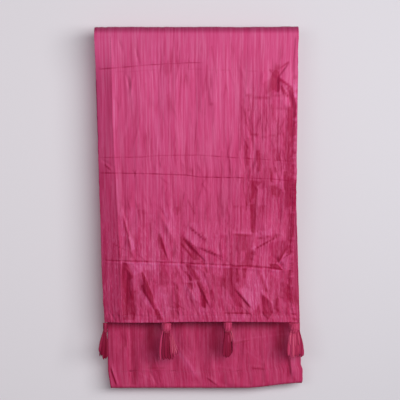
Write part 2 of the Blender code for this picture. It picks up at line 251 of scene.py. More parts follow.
# Flat facets of the crumpled front flap, painted lighter or darker: lightness, then corners in
# picture pixels
FACETS = (
    (-0.5, 122, 212, 126, 224, 130, 237, 127.5, 236, 123, 223),
    (-0.5, 128, 238, 130.3, 240, 132, 258, 130, 258, 129, 248),
    (-0.4, 142, 210, 145, 210, 145, 222, 146, 228, 143, 226),
    (-0.35, 149, 222, 152, 222, 152, 240, 150, 240),
    (-0.5, 158, 232, 161, 234, 165, 246, 166, 260, 160, 260, 160, 252, 157, 240),
    (-0.4, 160, 238, 162, 238, 165, 249, 161, 249),
    (-0.4, 160, 262, 165, 262, 165, 268, 171, 280, 166, 287, 160, 286, 159, 270),
    (-0.5, 180, 236, 186, 240, 197, 248, 201, 260, 194, 260, 181, 244),
    (-0.6, 176, 206, 178, 206, 178, 215, 176.5, 215),
    (-0.3, 188, 220, 191, 222, 195, 232, 190, 230),
    (-0.55, 122, 262, 127, 263, 130, 270, 134, 277, 130, 280, 130, 320, 121, 320, 121, 290),
    (-0.4, 130, 290, 136, 290, 137, 310, 134, 320, 130, 320),
    (-0.95, 141, 272, 143, 272, 147, 280, 150, 289, 153, 296, 154, 309.5, 150, 300, 143, 290, 141,
     286, 144, 284),
    (-0.75, 154, 309, 158, 309, 163, 320, 157, 320),
    (-0.55, 172, 281, 178, 285, 178, 290, 174, 286), (-0.6, 174, 288, 178, 288, 179, 308, 176, 308),
    (-0.35, 174, 262, 176, 262, 177, 278, 175, 278),
    (-0.65, 184, 271, 187, 271, 192.5, 279.5, 190, 280.5),
    (-0.4, 184, 264, 190, 264, 193, 270, 196, 275, 200, 280, 194, 280, 190, 272),
    (-0.4, 192, 270, 195, 270, 201, 279, 196, 280), (-0.5, 186, 283, 193, 282, 193, 290, 190, 290),
    (-0.55, 196, 282, 201, 282, 203, 292, 201, 292), (-0.5, 201, 290, 206, 292, 206, 308, 202, 308),
    (-0.35, 170, 310, 178, 310, 180, 318, 176, 320, 171, 318),
    (0.6, 131, 263, 141, 263, 143, 271, 139, 273, 134, 276, 131, 270),
    (0.55, 141, 290, 150, 302, 152.5, 309, 145, 304, 139, 294),
    (0.3, 154, 290, 158, 288, 160, 292, 168, 296, 170, 310, 162, 318, 156, 308, 153.5, 296),
    (0.35, 177, 262, 183, 262, 186, 270, 190, 280, 184, 281, 179, 270),
    (0.55, 194, 270, 200, 270, 206, 280, 208, 288, 204, 286, 200, 280),
    (0.55, 184, 283, 187, 284, 190, 292, 190, 300, 186, 298, 184, 290),
    (0.4, 193, 282, 196, 282, 200, 288, 200, 302, 191, 299, 192, 290),
    (0.5, 198, 306, 206, 308, 208, 315, 200, 315),
    (0.45, 141, 263, 158, 264, 158, 268, 150, 271, 142, 269),
    (0.3, 131, 208, 138, 208, 140, 222, 137, 238, 132, 232, 130, 218),
    (0.25, 163, 209, 170, 206, 175, 216, 178, 234, 170, 234, 166, 222),
    (0.35, 190, 222, 199, 224, 200, 247, 197, 247, 190, 240, 184, 236),
    (0.3, 199, 248, 206, 251, 207, 260, 201, 260),
    (0.35, 120, 210, 122, 210, 126, 235, 128, 256, 122, 256),
    (0.5, 131, 240, 134, 238, 135, 248, 132, 251),
    (-0.7, 250, 204, 255, 204, 256, 214, 254, 232, 251, 232, 251, 218),
    (-0.25, 233, 234, 252, 234, 252, 240, 251, 252, 255, 254, 250, 266, 232, 266, 234, 252),
    (-0.22, 238, 235, 246, 235, 248, 250, 241, 250),
    (-0.25, 245, 252, 252, 253, 252, 266, 246, 266),
    (-0.45, 250, 250, 256, 251, 256, 256, 251, 254),
    (-0.3, 270, 242, 287, 240, 285, 252, 279, 262, 272, 262),
    (-0.8, 269, 264, 277, 264, 283, 270, 280, 270, 272, 268),
    (-0.35, 280, 282, 290, 284, 290, 300, 280, 298), (-0.5, 235, 268, 238, 268, 239, 282, 236, 282),
    (-0.5, 242, 268, 247, 268, 246, 278, 243, 278),
    (-0.35, 223, 268, 234, 268, 236, 290, 239, 300, 243, 308, 236, 306, 228, 292, 222, 284),
    (-0.55, 262, 294, 270, 300, 273, 312, 268, 320, 263, 314, 262, 304),
    (-0.6, 210, 290, 212.4, 290, 213, 308, 210.6, 308),
    (-0.3, 216, 276, 225, 278, 226, 288, 216, 286), (-0.4, 273, 300, 278, 298, 280, 310, 275, 316),
    (0.4, 235.4, 252, 237.6, 252, 237, 266, 235, 266),
    (0.3, 241, 251, 246, 252, 244, 262, 240, 262),
    (0.6, 251, 247.5, 256.5, 246, 255, 250, 252, 250),
    (0.45, 255, 232, 272, 229, 272, 235.5, 262, 237, 256, 237),
    (0.7, 279, 262, 286, 253, 291, 256, 291, 270, 283, 270, 279, 266),
    (0.45, 272, 270, 279, 270, 280, 279, 275, 278, 271, 274),
    (0.4, 247, 268, 260, 268, 262, 280, 262, 292, 256, 310, 250, 306, 240, 290, 246, 284, 246, 274),
    (0.3, 240, 288, 252, 288, 256, 296, 251, 306, 246, 300),
    (0.45, 261, 270, 264, 272, 269, 288, 266.5, 288),
    (0.25, 213, 262, 223, 264, 222, 275, 214, 272), (0.6, 232, 314, 245, 314, 244, 321, 231, 321),
    (0.25, 210, 238, 220, 239, 221, 258, 210, 248),
    (-0.6, 271, 76, 275, 70, 279, 72, 280, 90, 278, 92, 272, 90),
    (-0.25, 262, 84, 271, 78, 272, 92, 266, 95),
    (-0.7, 290, 88, 294, 92, 296, 108, 292, 108, 289, 100),
    (0.5, 292.5, 86, 296.5, 86, 296.5, 97, 294, 96),
    (-0.7, 288, 108, 291, 108, 291.5, 118, 296, 128, 296, 136, 290, 136, 288, 120),
    (-0.35, 246, 136, 250, 138, 250, 165, 246, 165),
    (-0.55, 256, 150, 260, 150, 261, 172, 258, 172), (-0.3, 272, 150, 277, 148, 280, 160, 273, 162),
    (-0.7, 270, 168, 273, 172, 272.5, 183, 270, 181),
    (-0.7, 283, 172, 287, 172, 289, 190, 284, 190), (-0.8, 289, 180, 296, 180, 296, 206, 288, 206),
    (-0.4, 270, 185, 276, 186, 282, 190, 280, 197, 272, 195),
    (0.5, 281.6, 170, 284, 170, 284, 192, 282, 192), (0.3, 274, 172, 281, 172, 281, 184, 275, 184),
    (-0.4, 250, 180, 262, 182, 256, 188, 250, 206, 246, 206, 247, 190),
    (-0.35, 255, 188, 258, 188, 256, 205, 252, 205), (0.3, 258, 190, 266, 188, 268, 204, 258, 206),
)
FACET_EDGE = 1.0
FACET_STRENGTH = 1.15
RANDOM_FACET_LIGHT = 0.22
# Random facets: cells across and down, slant, tilt, seed, sharpness
LARGE_FACETS = (0.034, 0.060, 0.40, 0.13, 3, 6.0)
MIDDLE_FACETS = (0.015, 0.036, 0.45, 0.12, 5, 7.0)
REAR_FACETS = (0.026, 0.050, 0.15, 0.10, 9, 6.0)
# Painted light and shade of random facets: share, cells across and down, slant, seed
RANDOM_LIGHT_FACETS = ((0.60, 0.0150, 0.046, 0.40, 61), (0.40, 0.0100, 0.034, -0.30, 62))

# Painted shade of creases and darker patches in picture pixels: start, end, half width, darkness
PAINTED_SHADES = (
    (279, 69, 288, 62.5, 1.2, 0.8), (270, 70, 275.5, 75, 1.2, 0.8),
    (247, 95.5, 264, 98.5, 1.5, 0.75), (264, 98.5, 282, 94.5, 1.5, 0.75),
    (245, 119, 250, 132, 1.4, 0.8), (250, 133.5, 265, 137, 1.5, 0.85),
    (265, 137, 280, 134, 1.5, 0.75), (275, 119, 284, 136, 1.3, 0.75),
    (181, 244, 194, 259, 1.0, 0.9), (182, 236, 196, 247, 0.9, 0.8), (201, 232, 206, 240, 0.9, 0.7),
    (202, 262, 207, 272, 1.5, 0.9), (143, 290, 153.6, 308.5, 0.9, 1.0),
    (188, 295, 192, 301, 0.9, 0.7), (192, 301, 198, 314, 0.9, 0.7), (198, 314, 203, 318, 0.9, 0.7),
    (240.8, 206, 241.2, 228, 1.1, 0.8), (259, 272, 263, 283, 1.6, 1.0),
    (263, 283, 266.5, 291, 1.4, 0.9), (243, 300, 250.5, 307, 1.0, 0.9),
    (225, 313, 250, 313.4, 1.0, 0.8), (231, 240, 231.5, 310, 1.8, 0.45),
    (271, 276, 271, 300, 1.2, 0.45), (277, 282, 277, 305, 1.2, 0.45),
    (204, 250, 212, 254, 0.9, 0.6), (212, 254, 220.5, 259, 0.9, 0.6),
    (293.6, 206, 291.8, 238, 3.2, 1.2), (291.8, 240, 291.2, 300, 2.4, 0.8),
    (277.5, 68, 271, 92, 4.6, 0.8), (272.8, 69.6, 277, 76, 0.8, 0.9), (276, 71, 277, 79, 1.8, 1.0),
    (280, 79.5, 292, 88.5, 1.6, 1.3), (281.5, 87.5, 287.5, 96, 1.5, 1.3),
    (121, 60, 124, 300, 5.0, 0.16), (242, 60, 244, 300, 6.0, 0.2), (262, 60, 262, 200, 7.0, 0.14),
    (288, 88, 294.5, 106, 2.6, 0.85), (294, 106, 292, 150, 2.2, 0.6),
    (248, 110, 294, 107.7, 1.4, 0.6), (243, 100, 240, 150, 1.2, 0.6),
    (251, 112, 254, 150, 1.3, 0.65), (258, 120, 262, 158, 1.3, 0.6),
    (276, 138, 280, 160, 1.4, 0.75), (244, 146, 249, 172, 1.4, 0.75),
    (268, 146, 270, 172, 1.4, 0.65), (268, 112, 266, 206, 20.0, 0.42),
    (270, 158, 266, 206, 5.0, 0.5), (289, 125, 288, 205, 5.0, 0.9), (291, 108, 290, 300, 4.5, 0.95),
    (252.4, 209, 254, 234, 1.6, 0.7), (240.2, 207.8, 241.3, 230, 0.7, 0.8),
    (235, 235, 252, 234.6, 0.8, 0.8), (256.9, 238.9, 266.9, 236.7, 0.7, 0.8),
    (266.9, 236.7, 280.2, 234.4, 0.7, 0.8), (260.2, 245.6, 274.7, 236.7, 0.7, 0.8),
    (288, 244.4, 279, 262.2, 0.9, 0.9), (222.0, 241, 222.0, 261, 0.7, 0.8),
    (208, 250, 223, 257.5, 0.7, 0.8), (148, 282, 160, 318, 0.9, 0.5),
    (184.7, 272, 192, 281, 0.8, 0.8), (196, 280, 207, 292, 0.8, 0.8),
    (193, 269, 206, 285, 0.7, 0.7), (282, 205, 292, 260, 4.5, 0.35),
    (120, 270, 134, 316, 5.0, 0.35), (232, 266.5, 252, 265.5, 0.9, 0.8),
    (252, 265.5, 279, 268.7, 0.9, 0.8), (279, 268.7, 283, 264, 0.9, 0.8),
    (234, 207, 260, 209, 1.2, 0.6), (196, 322, 292, 322, 1.6, 0.2), (160, 210, 165, 232, 1.2, 0.55),
    (176, 268, 183, 284, 1.2, 0.6), (214, 276, 217, 300, 1.3, 0.55),
)
# Painted shadows of the front hem and the tassels on the rear flap, and painted shade in its
# creases
REAR_PAINTED_SHADES = (
    (108, 325, 298, 325, 5.5, 0.62), (153, 324, 152, 347, 7.0, 0.8),
    (216, 324, 215, 347, 6.0, 0.75), (281, 324, 280, 347, 6.0, 0.75),
    (155, 322, 155, 330, 5.0, 0.6), (280, 322, 280, 330, 6.0, 0.6), (133, 326, 135, 386, 3.0, 0.45),
    (122, 330, 124, 384, 1.4, 0.3), (222, 340, 224, 386, 2.0, 0.25),
    (287, 352, 288, 376, 1.2, 0.55), (292, 376, 300, 386, 1.5, 0.3),
)
# Painted highlights on crests in picture pixels: start, end, half width, lightness
PAINTED_HIGHLIGHTS = (
    (146, 297, 153, 309, 0.9, 0.8), (184, 281.5, 200, 281.7, 0.7, 0.7),
    (262, 291.5, 272, 302, 0.9, 0.6), (239.4, 206, 239.8, 228, 0.7, 0.45),
    (184, 236.5, 197.5, 246.6, 0.7, 0.4), (165, 211, 170, 226, 0.8, 0.5),
    (144, 272, 155, 300, 0.8, 0.6), (155, 300, 163.6, 318, 0.8, 0.6),
    (134, 263, 136, 275, 1.0, 0.5), (178, 264, 184, 280, 0.8, 0.5),
    (187, 270.5, 195, 281, 0.8, 0.6), (206.5, 280, 208, 290, 0.9, 0.6),
    (131.5, 238, 134, 250, 1.2, 0.6), (262.5, 270, 268.5, 290, 0.9, 0.6),
    (252, 297, 256.5, 305, 1.0, 0.5), (287, 251, 279.5, 263, 0.9, 0.7),
    (272, 270.5, 280, 271, 0.9, 0.6), (158, 236, 160, 250, 0.7, 0.3),
    (166.6, 236, 168, 258, 0.8, 0.45), (107, 309, 118, 320, 1.0, 0.6),
    (126, 311, 130, 320, 1.0, 0.55), (136, 308, 139, 320, 0.9, 0.55),
    (146, 311, 149, 320, 0.9, 0.5), (170, 308, 169, 320, 0.8, 0.45), (180, 309, 182, 320, 0.9, 0.5),
    (214, 310, 216, 320, 1.2, 0.6), (226, 315, 228, 321, 1.0, 0.5), (283, 310, 287, 320, 1.2, 0.5),
    (278, 316, 281, 321, 1.0, 0.5), (166, 222, 170, 229, 0.7, 0.5),
    (114.5, 262, 117, 308, 2.2, 0.7), (158, 36, 160, 320, 8.0, 0.2),
    (102, 262.2, 160, 263.9, 1.2, 0.9), (160, 263.9, 229, 267.2, 1.2, 0.8),
    (98, 40, 104, 310, 9.0, 0.3), (113.6, 100, 114.6, 165, 0.9, 0.35),
    (117.0, 180, 118.6, 215, 0.9, 0.4), (96, 33, 96, 62, 1.0, 0.25),
    (141.6, 273, 153.6, 310.5, 0.7, 0.6), (124.7, 278, 158, 278, 0.6, 0.3),
    (214.7, 236, 233.6, 232.6, 0.7, 0.55), (233.6, 232.8, 256.9, 233, 0.7, 0.55),
    (252.4, 248.9, 270.2, 238.9, 0.8, 0.45), (223.4, 241, 223.4, 260, 0.7, 0.5),
    (208, 251.6, 223.6, 259.4, 0.7, 0.5), (195, 270.5, 206.5, 285, 0.7, 0.5),
    (185, 284.5, 199, 303, 0.7, 0.5), (122, 209, 135, 258, 0.9, 0.45),
    (182, 236, 207, 262, 0.9, 0.35), (195, 246, 222, 258, 0.9, 0.35),
    (221, 239, 223, 261, 0.8, 0.3), (143, 274, 156, 307, 0.9, 0.35), (236, 288, 254, 309, 2.0, 0.4),
    (199, 282, 212, 308, 1.0, 0.3), (104, 316, 294, 316.5, 1.0, 0.12),
    (106, 321.0, 290, 320.6, 0.8, 0.25),
)
REAR_PAINTED_HIGHLIGHTS = (
    (168.5, 331, 178, 351, 0.9, 0.8), (178, 352, 186, 361, 2.2, 0.85),
    (186, 361, 195, 373, 3.8, 0.9), (203, 380, 206, 386, 1.8, 0.35),
    (206.5, 376.3, 219.3, 385.8, 0.9, 0.45), (142, 369, 154, 371, 0.8, 0.4),
    (138, 372, 150, 379, 0.8, 0.35), (112, 368, 118, 386, 0.9, 0.35),
    (292, 356, 293, 375, 2.6, 0.4), (222, 343, 262, 336.5, 0.7, 0.4),
    (262, 336.5, 290, 333, 0.7, 0.3), (246, 350, 262, 362, 0.9, 0.35),
    (214, 366, 236, 369, 0.8, 0.3),
)
# Random strokes, of painted shade in the stroke sets and of painted highlight in the
# highlight sets: seed, count, box of columns and rows, lean, spread, longest, strength
STROKE_SETS = (
    (21, 66, (240, 295, 104, 208), 0.05, 0.14, 26.0, 0.95),
    (22, 60, (118, 292, 205, 318), 0.08, 0.16, 20.0, 0.55),
    (23, 26, (120, 292, 205, 318), 0.80, 0.25, 18.0, 0.75),
    (24, 50, (114, 246, 34, 206), 0.02, 0.05, 34.0, 0.42),
    (25, 20, (98, 112, 150, 318), 0.0, 0.08, 30.0, 0.35),
)
HIGHLIGHT_SETS = (
    (41, 60, (106, 294, 300, 321), 0.10, 0.25, 9.0, 0.60),
    (42, 40, (118, 292, 205, 300), 0.15, 0.35, 16.0, 0.40),
    (43, 24, (284, 296, 130, 300), 0.05, 0.20, 6.0, 0.55),
    (44, 40, (114, 260, 34, 200), 0.02, 0.05, 40.0, 0.14),
)
REAR_STROKE_SETS = ((31, 46, (112, 298, 326, 388), 0.05, 0.10, 34.0, 0.50),)
REAR_HIGHLIGHT_SETS = ((51, 30, (112, 298, 340, 388), 0.10, 0.30, 22.0, 0.30),)
# Random creases: seed, count, box of columns and rows, lean, spread, then metres long and high
CREASE_SETS = (
    (11, 50, (122, 292, 203, 318), 0.55, 0.30, 0.050, 0.00060),
    (12, 14, (124, 290, 210, 316), -0.75, 0.30, 0.036, 0.00050),
    (13, 30, (244, 296, 72, 205), 0.10, 0.35, 0.045, 0.00080),
    (14, 34, (118, 245, 160, 212), 0.35, 0.45, 0.030, 0.00070),
    (15, 30, (116, 246, 66, 160), 0.10, 0.25, 0.060, 0.00045),
    (16, 24, (120, 292, 208, 318), 0.05, 0.14, 0.060, 0.00060),
)

# Direction of the light for the painted light and shade of the slopes
LIT_SIDE = Vector((0.48, -0.87, 0.06)).normalized()
SLOPE_SHADE = 1.2
SLOPE_LIMIT = 0.60

STITCH_PITCH = 0.0031
STITCH_SHARE = 0.72
STITCH_PLACES = 700
THREAD_RADIUS = 0.00021
# Stitches: distance from the hem's, the bands' and the pocket's lines
HEM_STITCH = 0.0022
BAND_STITCH = 0.0026
RIGHT_STITCH = 0.0046
POCKET_STITCH = 0.0015
POCKET_BACK = 0.0031

HEAD_AROUND = 40
HEAD_ROWS = 26
# Painted light and shade of each tassel's head and of the filler strips
HEAD_PAINTED_SHADES = (0.30, 0.84, 0.80, 0.84)
HEAD_WIDTHS = (0.50, 1.20, 1.10, 1.35)
FILLER_COUNT = 12
FILLER_WIDTH = 0.0050
FILLER_PAINTED_SHADE = 0.30
STRIP_ACROSS = 4
STRIP_ROWS = 22
STRIP_PLY = 0.0004
STRIP_FRONT = 0.0030
STRIP_LAYER = 0.0004
STRIP_CUP = 0.14
WINDING_TURNS = 5
WINDING_STEPS = 22 * WINDING_TURNS
WINDING_RADIUS = 0.00034

# Front strips of each tassel, in picture pixels from the middle of its top: end column, end
# row, sideways bow, width, turns of twist, and painted lightness
STRIPS = (
    (
        (-1.4, 37.0, 0.2, 3.8, 0.05, 0.10), (-3.6, 33.0, -0.4, 3.6, -0.06, 0.02),
        (-5.6, 29.5, -0.6, 3.0, 0.06, 0.22), (0.8, 36.5, 0.8, 3.2, -0.05, 0.0),
        (2.2, 34.5, 1.2, 2.2, 0.06, 0.28),
    ),
    (
        (-2.4, 37.0, -0.6, 4.6, -0.06, 0.22), (0.4, 36.0, 0.0, 5.0, 0.05, 0.16),
        (3.2, 37.0, 0.4, 4.6, -0.05, 0.22), (6.0, 36.5, 0.6, 4.0, 0.06, 0.30),
        (-5.6, 37.5, -2.6, 2.6, 0.10, 0.78), (8.2, 34.0, 0.2, 3.4, 0.05, 0.60),
        (10.6, 31.5, -0.4, 3.0, -0.05, 0.70), (6.6, 31.0, 0.8, 1.3, 0.0, 1.00),
        (8.4, 31.0, 0.6, 1.2, 0.0, 0.95), (10.2, 30.0, 0.2, 1.2, 0.0, 1.00),
        (11.8, 28.0, -0.2, 1.1, 0.0, 0.90), (4.6, 32.0, 1.0, 1.2, 0.0, 0.85),
    ),
    (
        (-3.8, 34.5, -0.8, 3.8, 0.05, 0.12), (-1.6, 35.5, -0.2, 4.4, -0.05, 0.16),
        (0.6, 35.0, 0.2, 4.4, 0.05, 0.12), (2.2, 33.5, 0.4, 3.2, -0.06, 0.20),
        (5.6, 18.5, 1.2, 1.4, 0.20, 1.00), (3.6, 19.5, 0.8, 1.3, -0.15, 0.95),
        (1.2, 21.0, 0.2, 1.3, 0.10, 0.80),
    ),
    (
        (8.8, 33.0, 1.2, 2.6, 0.05, 0.45), (7.4, 34.0, 1.4, 3.0, 0.05, 0.34),
        (5.6, 32.0, 1.6, 3.2, -0.05, 0.45), (3.6, 34.0, 0.9, 3.2, 0.04, 0.60),
        (-3.6, 35.6, -1.2, 3.4, -0.05, 0.62), (-5.8, 33.0, -1.6, 3.2, 0.08, 0.85),
        (1.4, 33.6, 0.4, 3.2, -0.06, 0.60), (3.4, 31.0, 1.2, 2.8, 0.08, 0.85),
        (-1.0, 34.8, -0.4, 3.4, 0.08, 0.92), (-4.4, 22.0, -1.2, 2.0, 0.10, 1.00),
        (0.6, 24.0, 0.0, 2.0, -0.10, 0.90), (4.6, 22.0, 1.0, 1.8, 0.10, 0.92),
    ),
)

# Cloth colours, dark, middle and light, and its shades as factors on them: a random cloud tone and
# painted light and shade
CLOTH_COLOURS = ((0.48, 0.016, 0.094), (0.54, 0.034, 0.142), (0.59, 0.066, 0.200))
STRIP_COLOURS = ((0.40, 0.024, 0.082), (0.47, 0.036, 0.115), (0.54, 0.056, 0.160))
# Colour of the painted highlight dashes
HIGHLIGHT_COLOUR = (0.60, 0.085, 0.240)
CLOUD_SHADES = ((0.3, (0.96, 0.92, 0.94)), (0.7, (1.04, 1.08, 1.06)))
# Painted light and shade along the cloth, from the front hem over the top fold to the rear flap
LENGTH_PAINTED_LIGHT = (
    (0.0, (0.84, 0.80, 0.77)),
    (0.17, (0.96, 1.16, 1.05)),
    (0.33, (1.08, 1.64, 1.36)),
    (0.50, (1.05, 1.68, 1.36)),
    (0.80, (0.87, 0.88, 0.80)),
)
# Painted highlight at a crest (0), plain cloth (0.5) and painted shade in a valley (1)
PAINTED_SHADING_RAMP = ((0.0, (1.20, 2.25, 1.70)), (0.5, (1.03, 1.28, 1.10)), (1.0, (0.64, 0.27, 0.38)))
# Painted shade from the flaps to the crown of the top fold
TOP_PAINTED_SHADES = ((0.15, (1.0, 1.0, 1.0)), (0.55, (0.76, 0.67, 0.72)))
# Painted shade and light of a tassel's strips, from the darkest to the lightest
STRIP_PAINTED_SHADES = ((0.0, (0.44, 0.12, 0.24)), (0.8, (1.0, 1.0, 1.0)), (1.0, (1.18, 2.00, 1.30)))
# Noise of the cloth's looks: cells across and down in metres, detail, seed
STREAK_NOISE = (0.0030, 0.095, 3.0, 3.0)
CLOUD_NOISE = (0.050, 0.090, 2.0, 8.0)
CRINKLE_NOISE = (0.0026, 0.034, 4.0, 12.0)
SMALL_NOISE = (0.0042, 0.0105, 2.0, 31.0)
# Noise that places the painted highlight dashes
HIGHLIGHT_DASH_NOISE = (0.0021, 0.012, 2.0, 23.0)
FINE_NOISE = (0.0011, 0.012, 3.0, 17.0)
WEAVE_PITCH = 0.00032
# Bumps: height in metres, strength
CRINKLE_BUMP = (0.0011, 0.70)
FINE_BUMP = (0.0004, 0.5)
WEAVE_BUMP = (0.00005, 0.5)
TWIST_BUMP = (0.00008, 0.6)
# Thread colours, dark and light
SEAM_COLOURS = ((0.34, 0.03, 0.10), (0.48, 0.05, 0.15))
NECK_COLOURS = ((0.28, 0.018, 0.055), (0.42, 0.034, 0.10))

WALL_Y = 0.045
FLOOR_Z = -1.05
STAGE_HALF = 3.0
STAGE_FADE = 0.36
WALL_COLOURS = ((0.80, 0.767, 0.82), (0.675, 0.655, 0.705))
FLOOR_COLOURS = ((0.70, 0.67, 0.71), (0.72, 0.69, 0.73))
LIGHT_TARGET = (0.0, 0.0, -0.28)
# Lamps: name, place, width, height, power, colour
LAMPS = (
    ("key", (0.98, -1.74, 0.05), 2.1, 0.9, 38.4, (1.0, 0.985, 0.97)),
    ("fill", (-0.95, -2.3, -0.05), 1.2, 0.8, 7.0, (1.0, 0.99, 0.98)),
    ("back", (-0.8, 1.7, 0.4), 1.4, 1.4, 18.0, (1.0, 1.0, 1.0)),
)
WORLD_COLOUR = (0.93, 0.93, 0.96)
WORLD_STRENGTH = 0.22
SEEN_COLOUR = (0.72, 0.69, 0.73)


def smooth(value):
    """Ease from 0 to 1 with flat ends."""
    value = np.clip(value, 0.0, 1.0)
    return value * value * (3.0 - 2.0 * value)


def eased(value, start, length):
    """Ease from 0 to 1 over a length that begins at a start."""
    return smooth((value - start) / length)


def bell(value):
    """1 at zero, and nothing far from it."""
    return np.exp(-(value ** 2))


def noise_field(x, y, layer):
    """Smooth noise at every place of two arrays."""
    x, y = np.broadcast_arrays(x, y)
    pairs = zip(x.ravel().tolist(), y.ravel().tolist())
    return np.array([noise.noise((p, q, layer)) for p, q in pairs]).reshape(x.shape)


def picture_x(column, pixel=FRONT_PIXEL):
    return CAMERA_X + (np.asarray(column) - PICTURE_SIZE / 2) * pixel


def picture_z(row, pixel=FRONT_PIXEL):
    return CAMERA_Z - (np.asarray(row) - PICTURE_SIZE / 2) * pixel


def line_ends(line, pixel):
    """Start and end in metres of a line that is given in picture pixels."""
    x0, x1 = picture_x(line[0:4:2], pixel).tolist()
    z0, z1 = picture_z(line[1:4:2], pixel).tolist()
    return x0, z0, x1, z1


def along(places, drop, pixel=FRONT_PIXEL, side=1):
    """X at each drop on a line of places that hold a picture row and then columns."""
    rows = np.array([place[0] for place in places])
    columns = np.array([place[side] for place in places])
    return np.interp(drop, -picture_z(rows, pixel), picture_x(columns, pixel))


def flap_edges(places, wobbles, drop, pixel):
    """X of the left and of the right edge of a flap at each drop."""
    edges = []
    for side, (depth, length, layer) in enumerate(wobbles, start=1):
        wobble = depth * noise_field(drop / length, 0.0, layer)
        edges.append(along(places, drop, pixel, side) + wobble)
    return edges


def front_edges(drop):
    return flap_edges(FRONT_EDGE_PLACES, FRONT_WOBBLES, drop, FRONT_PIXEL)


def rear_edges(drop):
    """Edges of the rear flap, which start as the front flap's at the top fold."""
    share = smooth(drop / REAR_EDGE_START)
    tops = front_edges(np.zeros_like(drop))
    edges = flap_edges(REAR_EDGE_PLACES, REAR_WOBBLES, drop, REAR_PIXEL)
    return [top + (edge - top) * share for top, edge in zip(tops, edges)]


def guide_drop(points, x):
    """Drop at each x of a line of picture places."""
    columns, rows = zip(*points)
    return np.interp(x, picture_x(columns), -picture_z(rows))


def front_hem_drop(across):
    x = -HALF_WIDTH + HEM_START + (CLOTH_WIDTH - HEM_SHORTER) * across
    depth, length, layer = HEM_WOBBLE
    return guide_drop(HEM_PLACES, x) + depth * noise_field(x / length, 0.0, layer)


def crush(across, drop, flap):
    """The large crinkles and soft folds, the same as the part's own."""
    calm = CALM_SHARE + (1.0 - CALM_SHARE) * smooth(drop / CALM_HEIGHT)
    x = across * CLOTH_WIDTH
    fine = noise_field(x / CRUSH_PITCH, drop / CRUSH_RUN, flap)
    soft = noise_field(x / DRAPE_PITCH, drop / DRAPE_RUN, flap + 5.0)
    return calm * (CRUSH_SHARE * CRUSH_DEPTH * fine + DRAPE_SHARE * DRAPE_DEPTH * soft)


def crinkle(across, drop, flap):
    """Sharp valleys of the crushed cloth: their depth in metres, and 0 to 1 of painted shade in a
    valley.
    """
    x = across * CLOTH_WIDTH

    def field(settings):
        return noise_field(x / settings[0], drop / settings[1], flap + settings[2])

    x = x + WANDER * field(WANDER_NOISE)
    wide = np.clip(1.0 - np.abs(field(WIDE_NOISE)) * 5.0, 0.0, 1.0) ** 2
    narrow = np.clip(1.0 - np.abs(field(NARROW_NOISE)) * 4.5, 0.0, 1.0) ** 2
    gate = np.clip(field(GATE_NOISE) * 2.4 + 0.45, 0.0, 1.0)
    patch = 0.35 + 1.1 * np.clip(field(PATCH_NOISE) + 0.20, 0.0, 1.0)
    depth = -(WIDE_DEPTH * wide + NARROW_DEPTH * narrow) * patch * gate
    painted_shading = np.clip(0.8 * wide + 0.5 * narrow, 0.0, 1.0) * gate * np.clip(patch, 0.0, 1.0)
    return depth + SWELL_DEPTH * field(SWELL_NOISE), painted_shading


def cell_value(i, j, number, seed):
    """A fixed number from 0 to 1 for each cell of a lattice."""
    i = i.astype(np.int64)
    j = j.astype(np.int64)
    mixed = (i * 73856093) ^ (j * 19349663) ^ ((number + 7 * seed) * 83492791)
    mixed = (mixed ^ (mixed >> 13)) * 1274126177
    mixed = (mixed ^ (mixed >> 16)) & 0xFFFFFF
    return mixed / float(0xFFFFFF)


def cells_near(x, z, cell_x, cell_z, slant, seed, wander):
    """The nine nearest cells of a slanted lattice: offset in x and z, and two leans of each."""
    px = (x * math.cos(slant) + z * math.sin(slant)) / cell_x + wander
    pz = (z * math.cos(slant) - x * math.sin(slant)) / cell_z + wander
    home_x = np.floor(px)
    home_z = np.floor(pz)
    for step_x in (-1, 0, 1):
        for step_z in (-1, 0, 1):
            i = home_x + step_x
            j = home_z + step_z
            dx = px - i - cell_value(i, j, 1, seed)
            dz = pz - j - cell_value(i, j, 2, seed)
            leans = [2.0 * cell_value(i, j, number, seed) - 1.0 for number in (3, 4)]
            yield dx, dz, *leans


def facets(x, z, cell_x, cell_z, slant, tilt, seed, sharp):
    """Crumpled cloth: flat facets that meet in sharp folds, as a height in metres."""
    wander = 0.5 * noise_field(x / (2.0 * cell_x), z / (2.0 * cell_z), seed + 0.5)
    total = np.zeros_like(x)
    weights = np.zeros_like(x)
    for dx, dz, lean_x, lean_z in cells_near(x, z, cell_x, cell_z, slant, seed, wander):
        weight = np.exp(-sharp * (dx * dx + dz * dz))
        plane = tilt * (lean_x * dx * cell_x + 0.6 * lean_z * dz * cell_z)
        total += weight * plane
        weights += weight
    return total / weights


def random_facet_light(x, z, cell_x, cell_z, slant, seed):
    """Painted light and shade from -1 to 1 of random flat facets with straight edges."""
    nearest = np.full_like(x, np.inf)
    facet_light = np.zeros_like(x)
    for dx, dz, lean, _ in cells_near(x, z, cell_x, cell_z, slant, seed, 0.0):
        away = dx * dx + dz * dz
        closer = away < nearest
        nearest = np.where(closer, away, nearest)
        facet_light = np.where(closer, lean + 0.4 * dx, facet_light)
    return facet_light


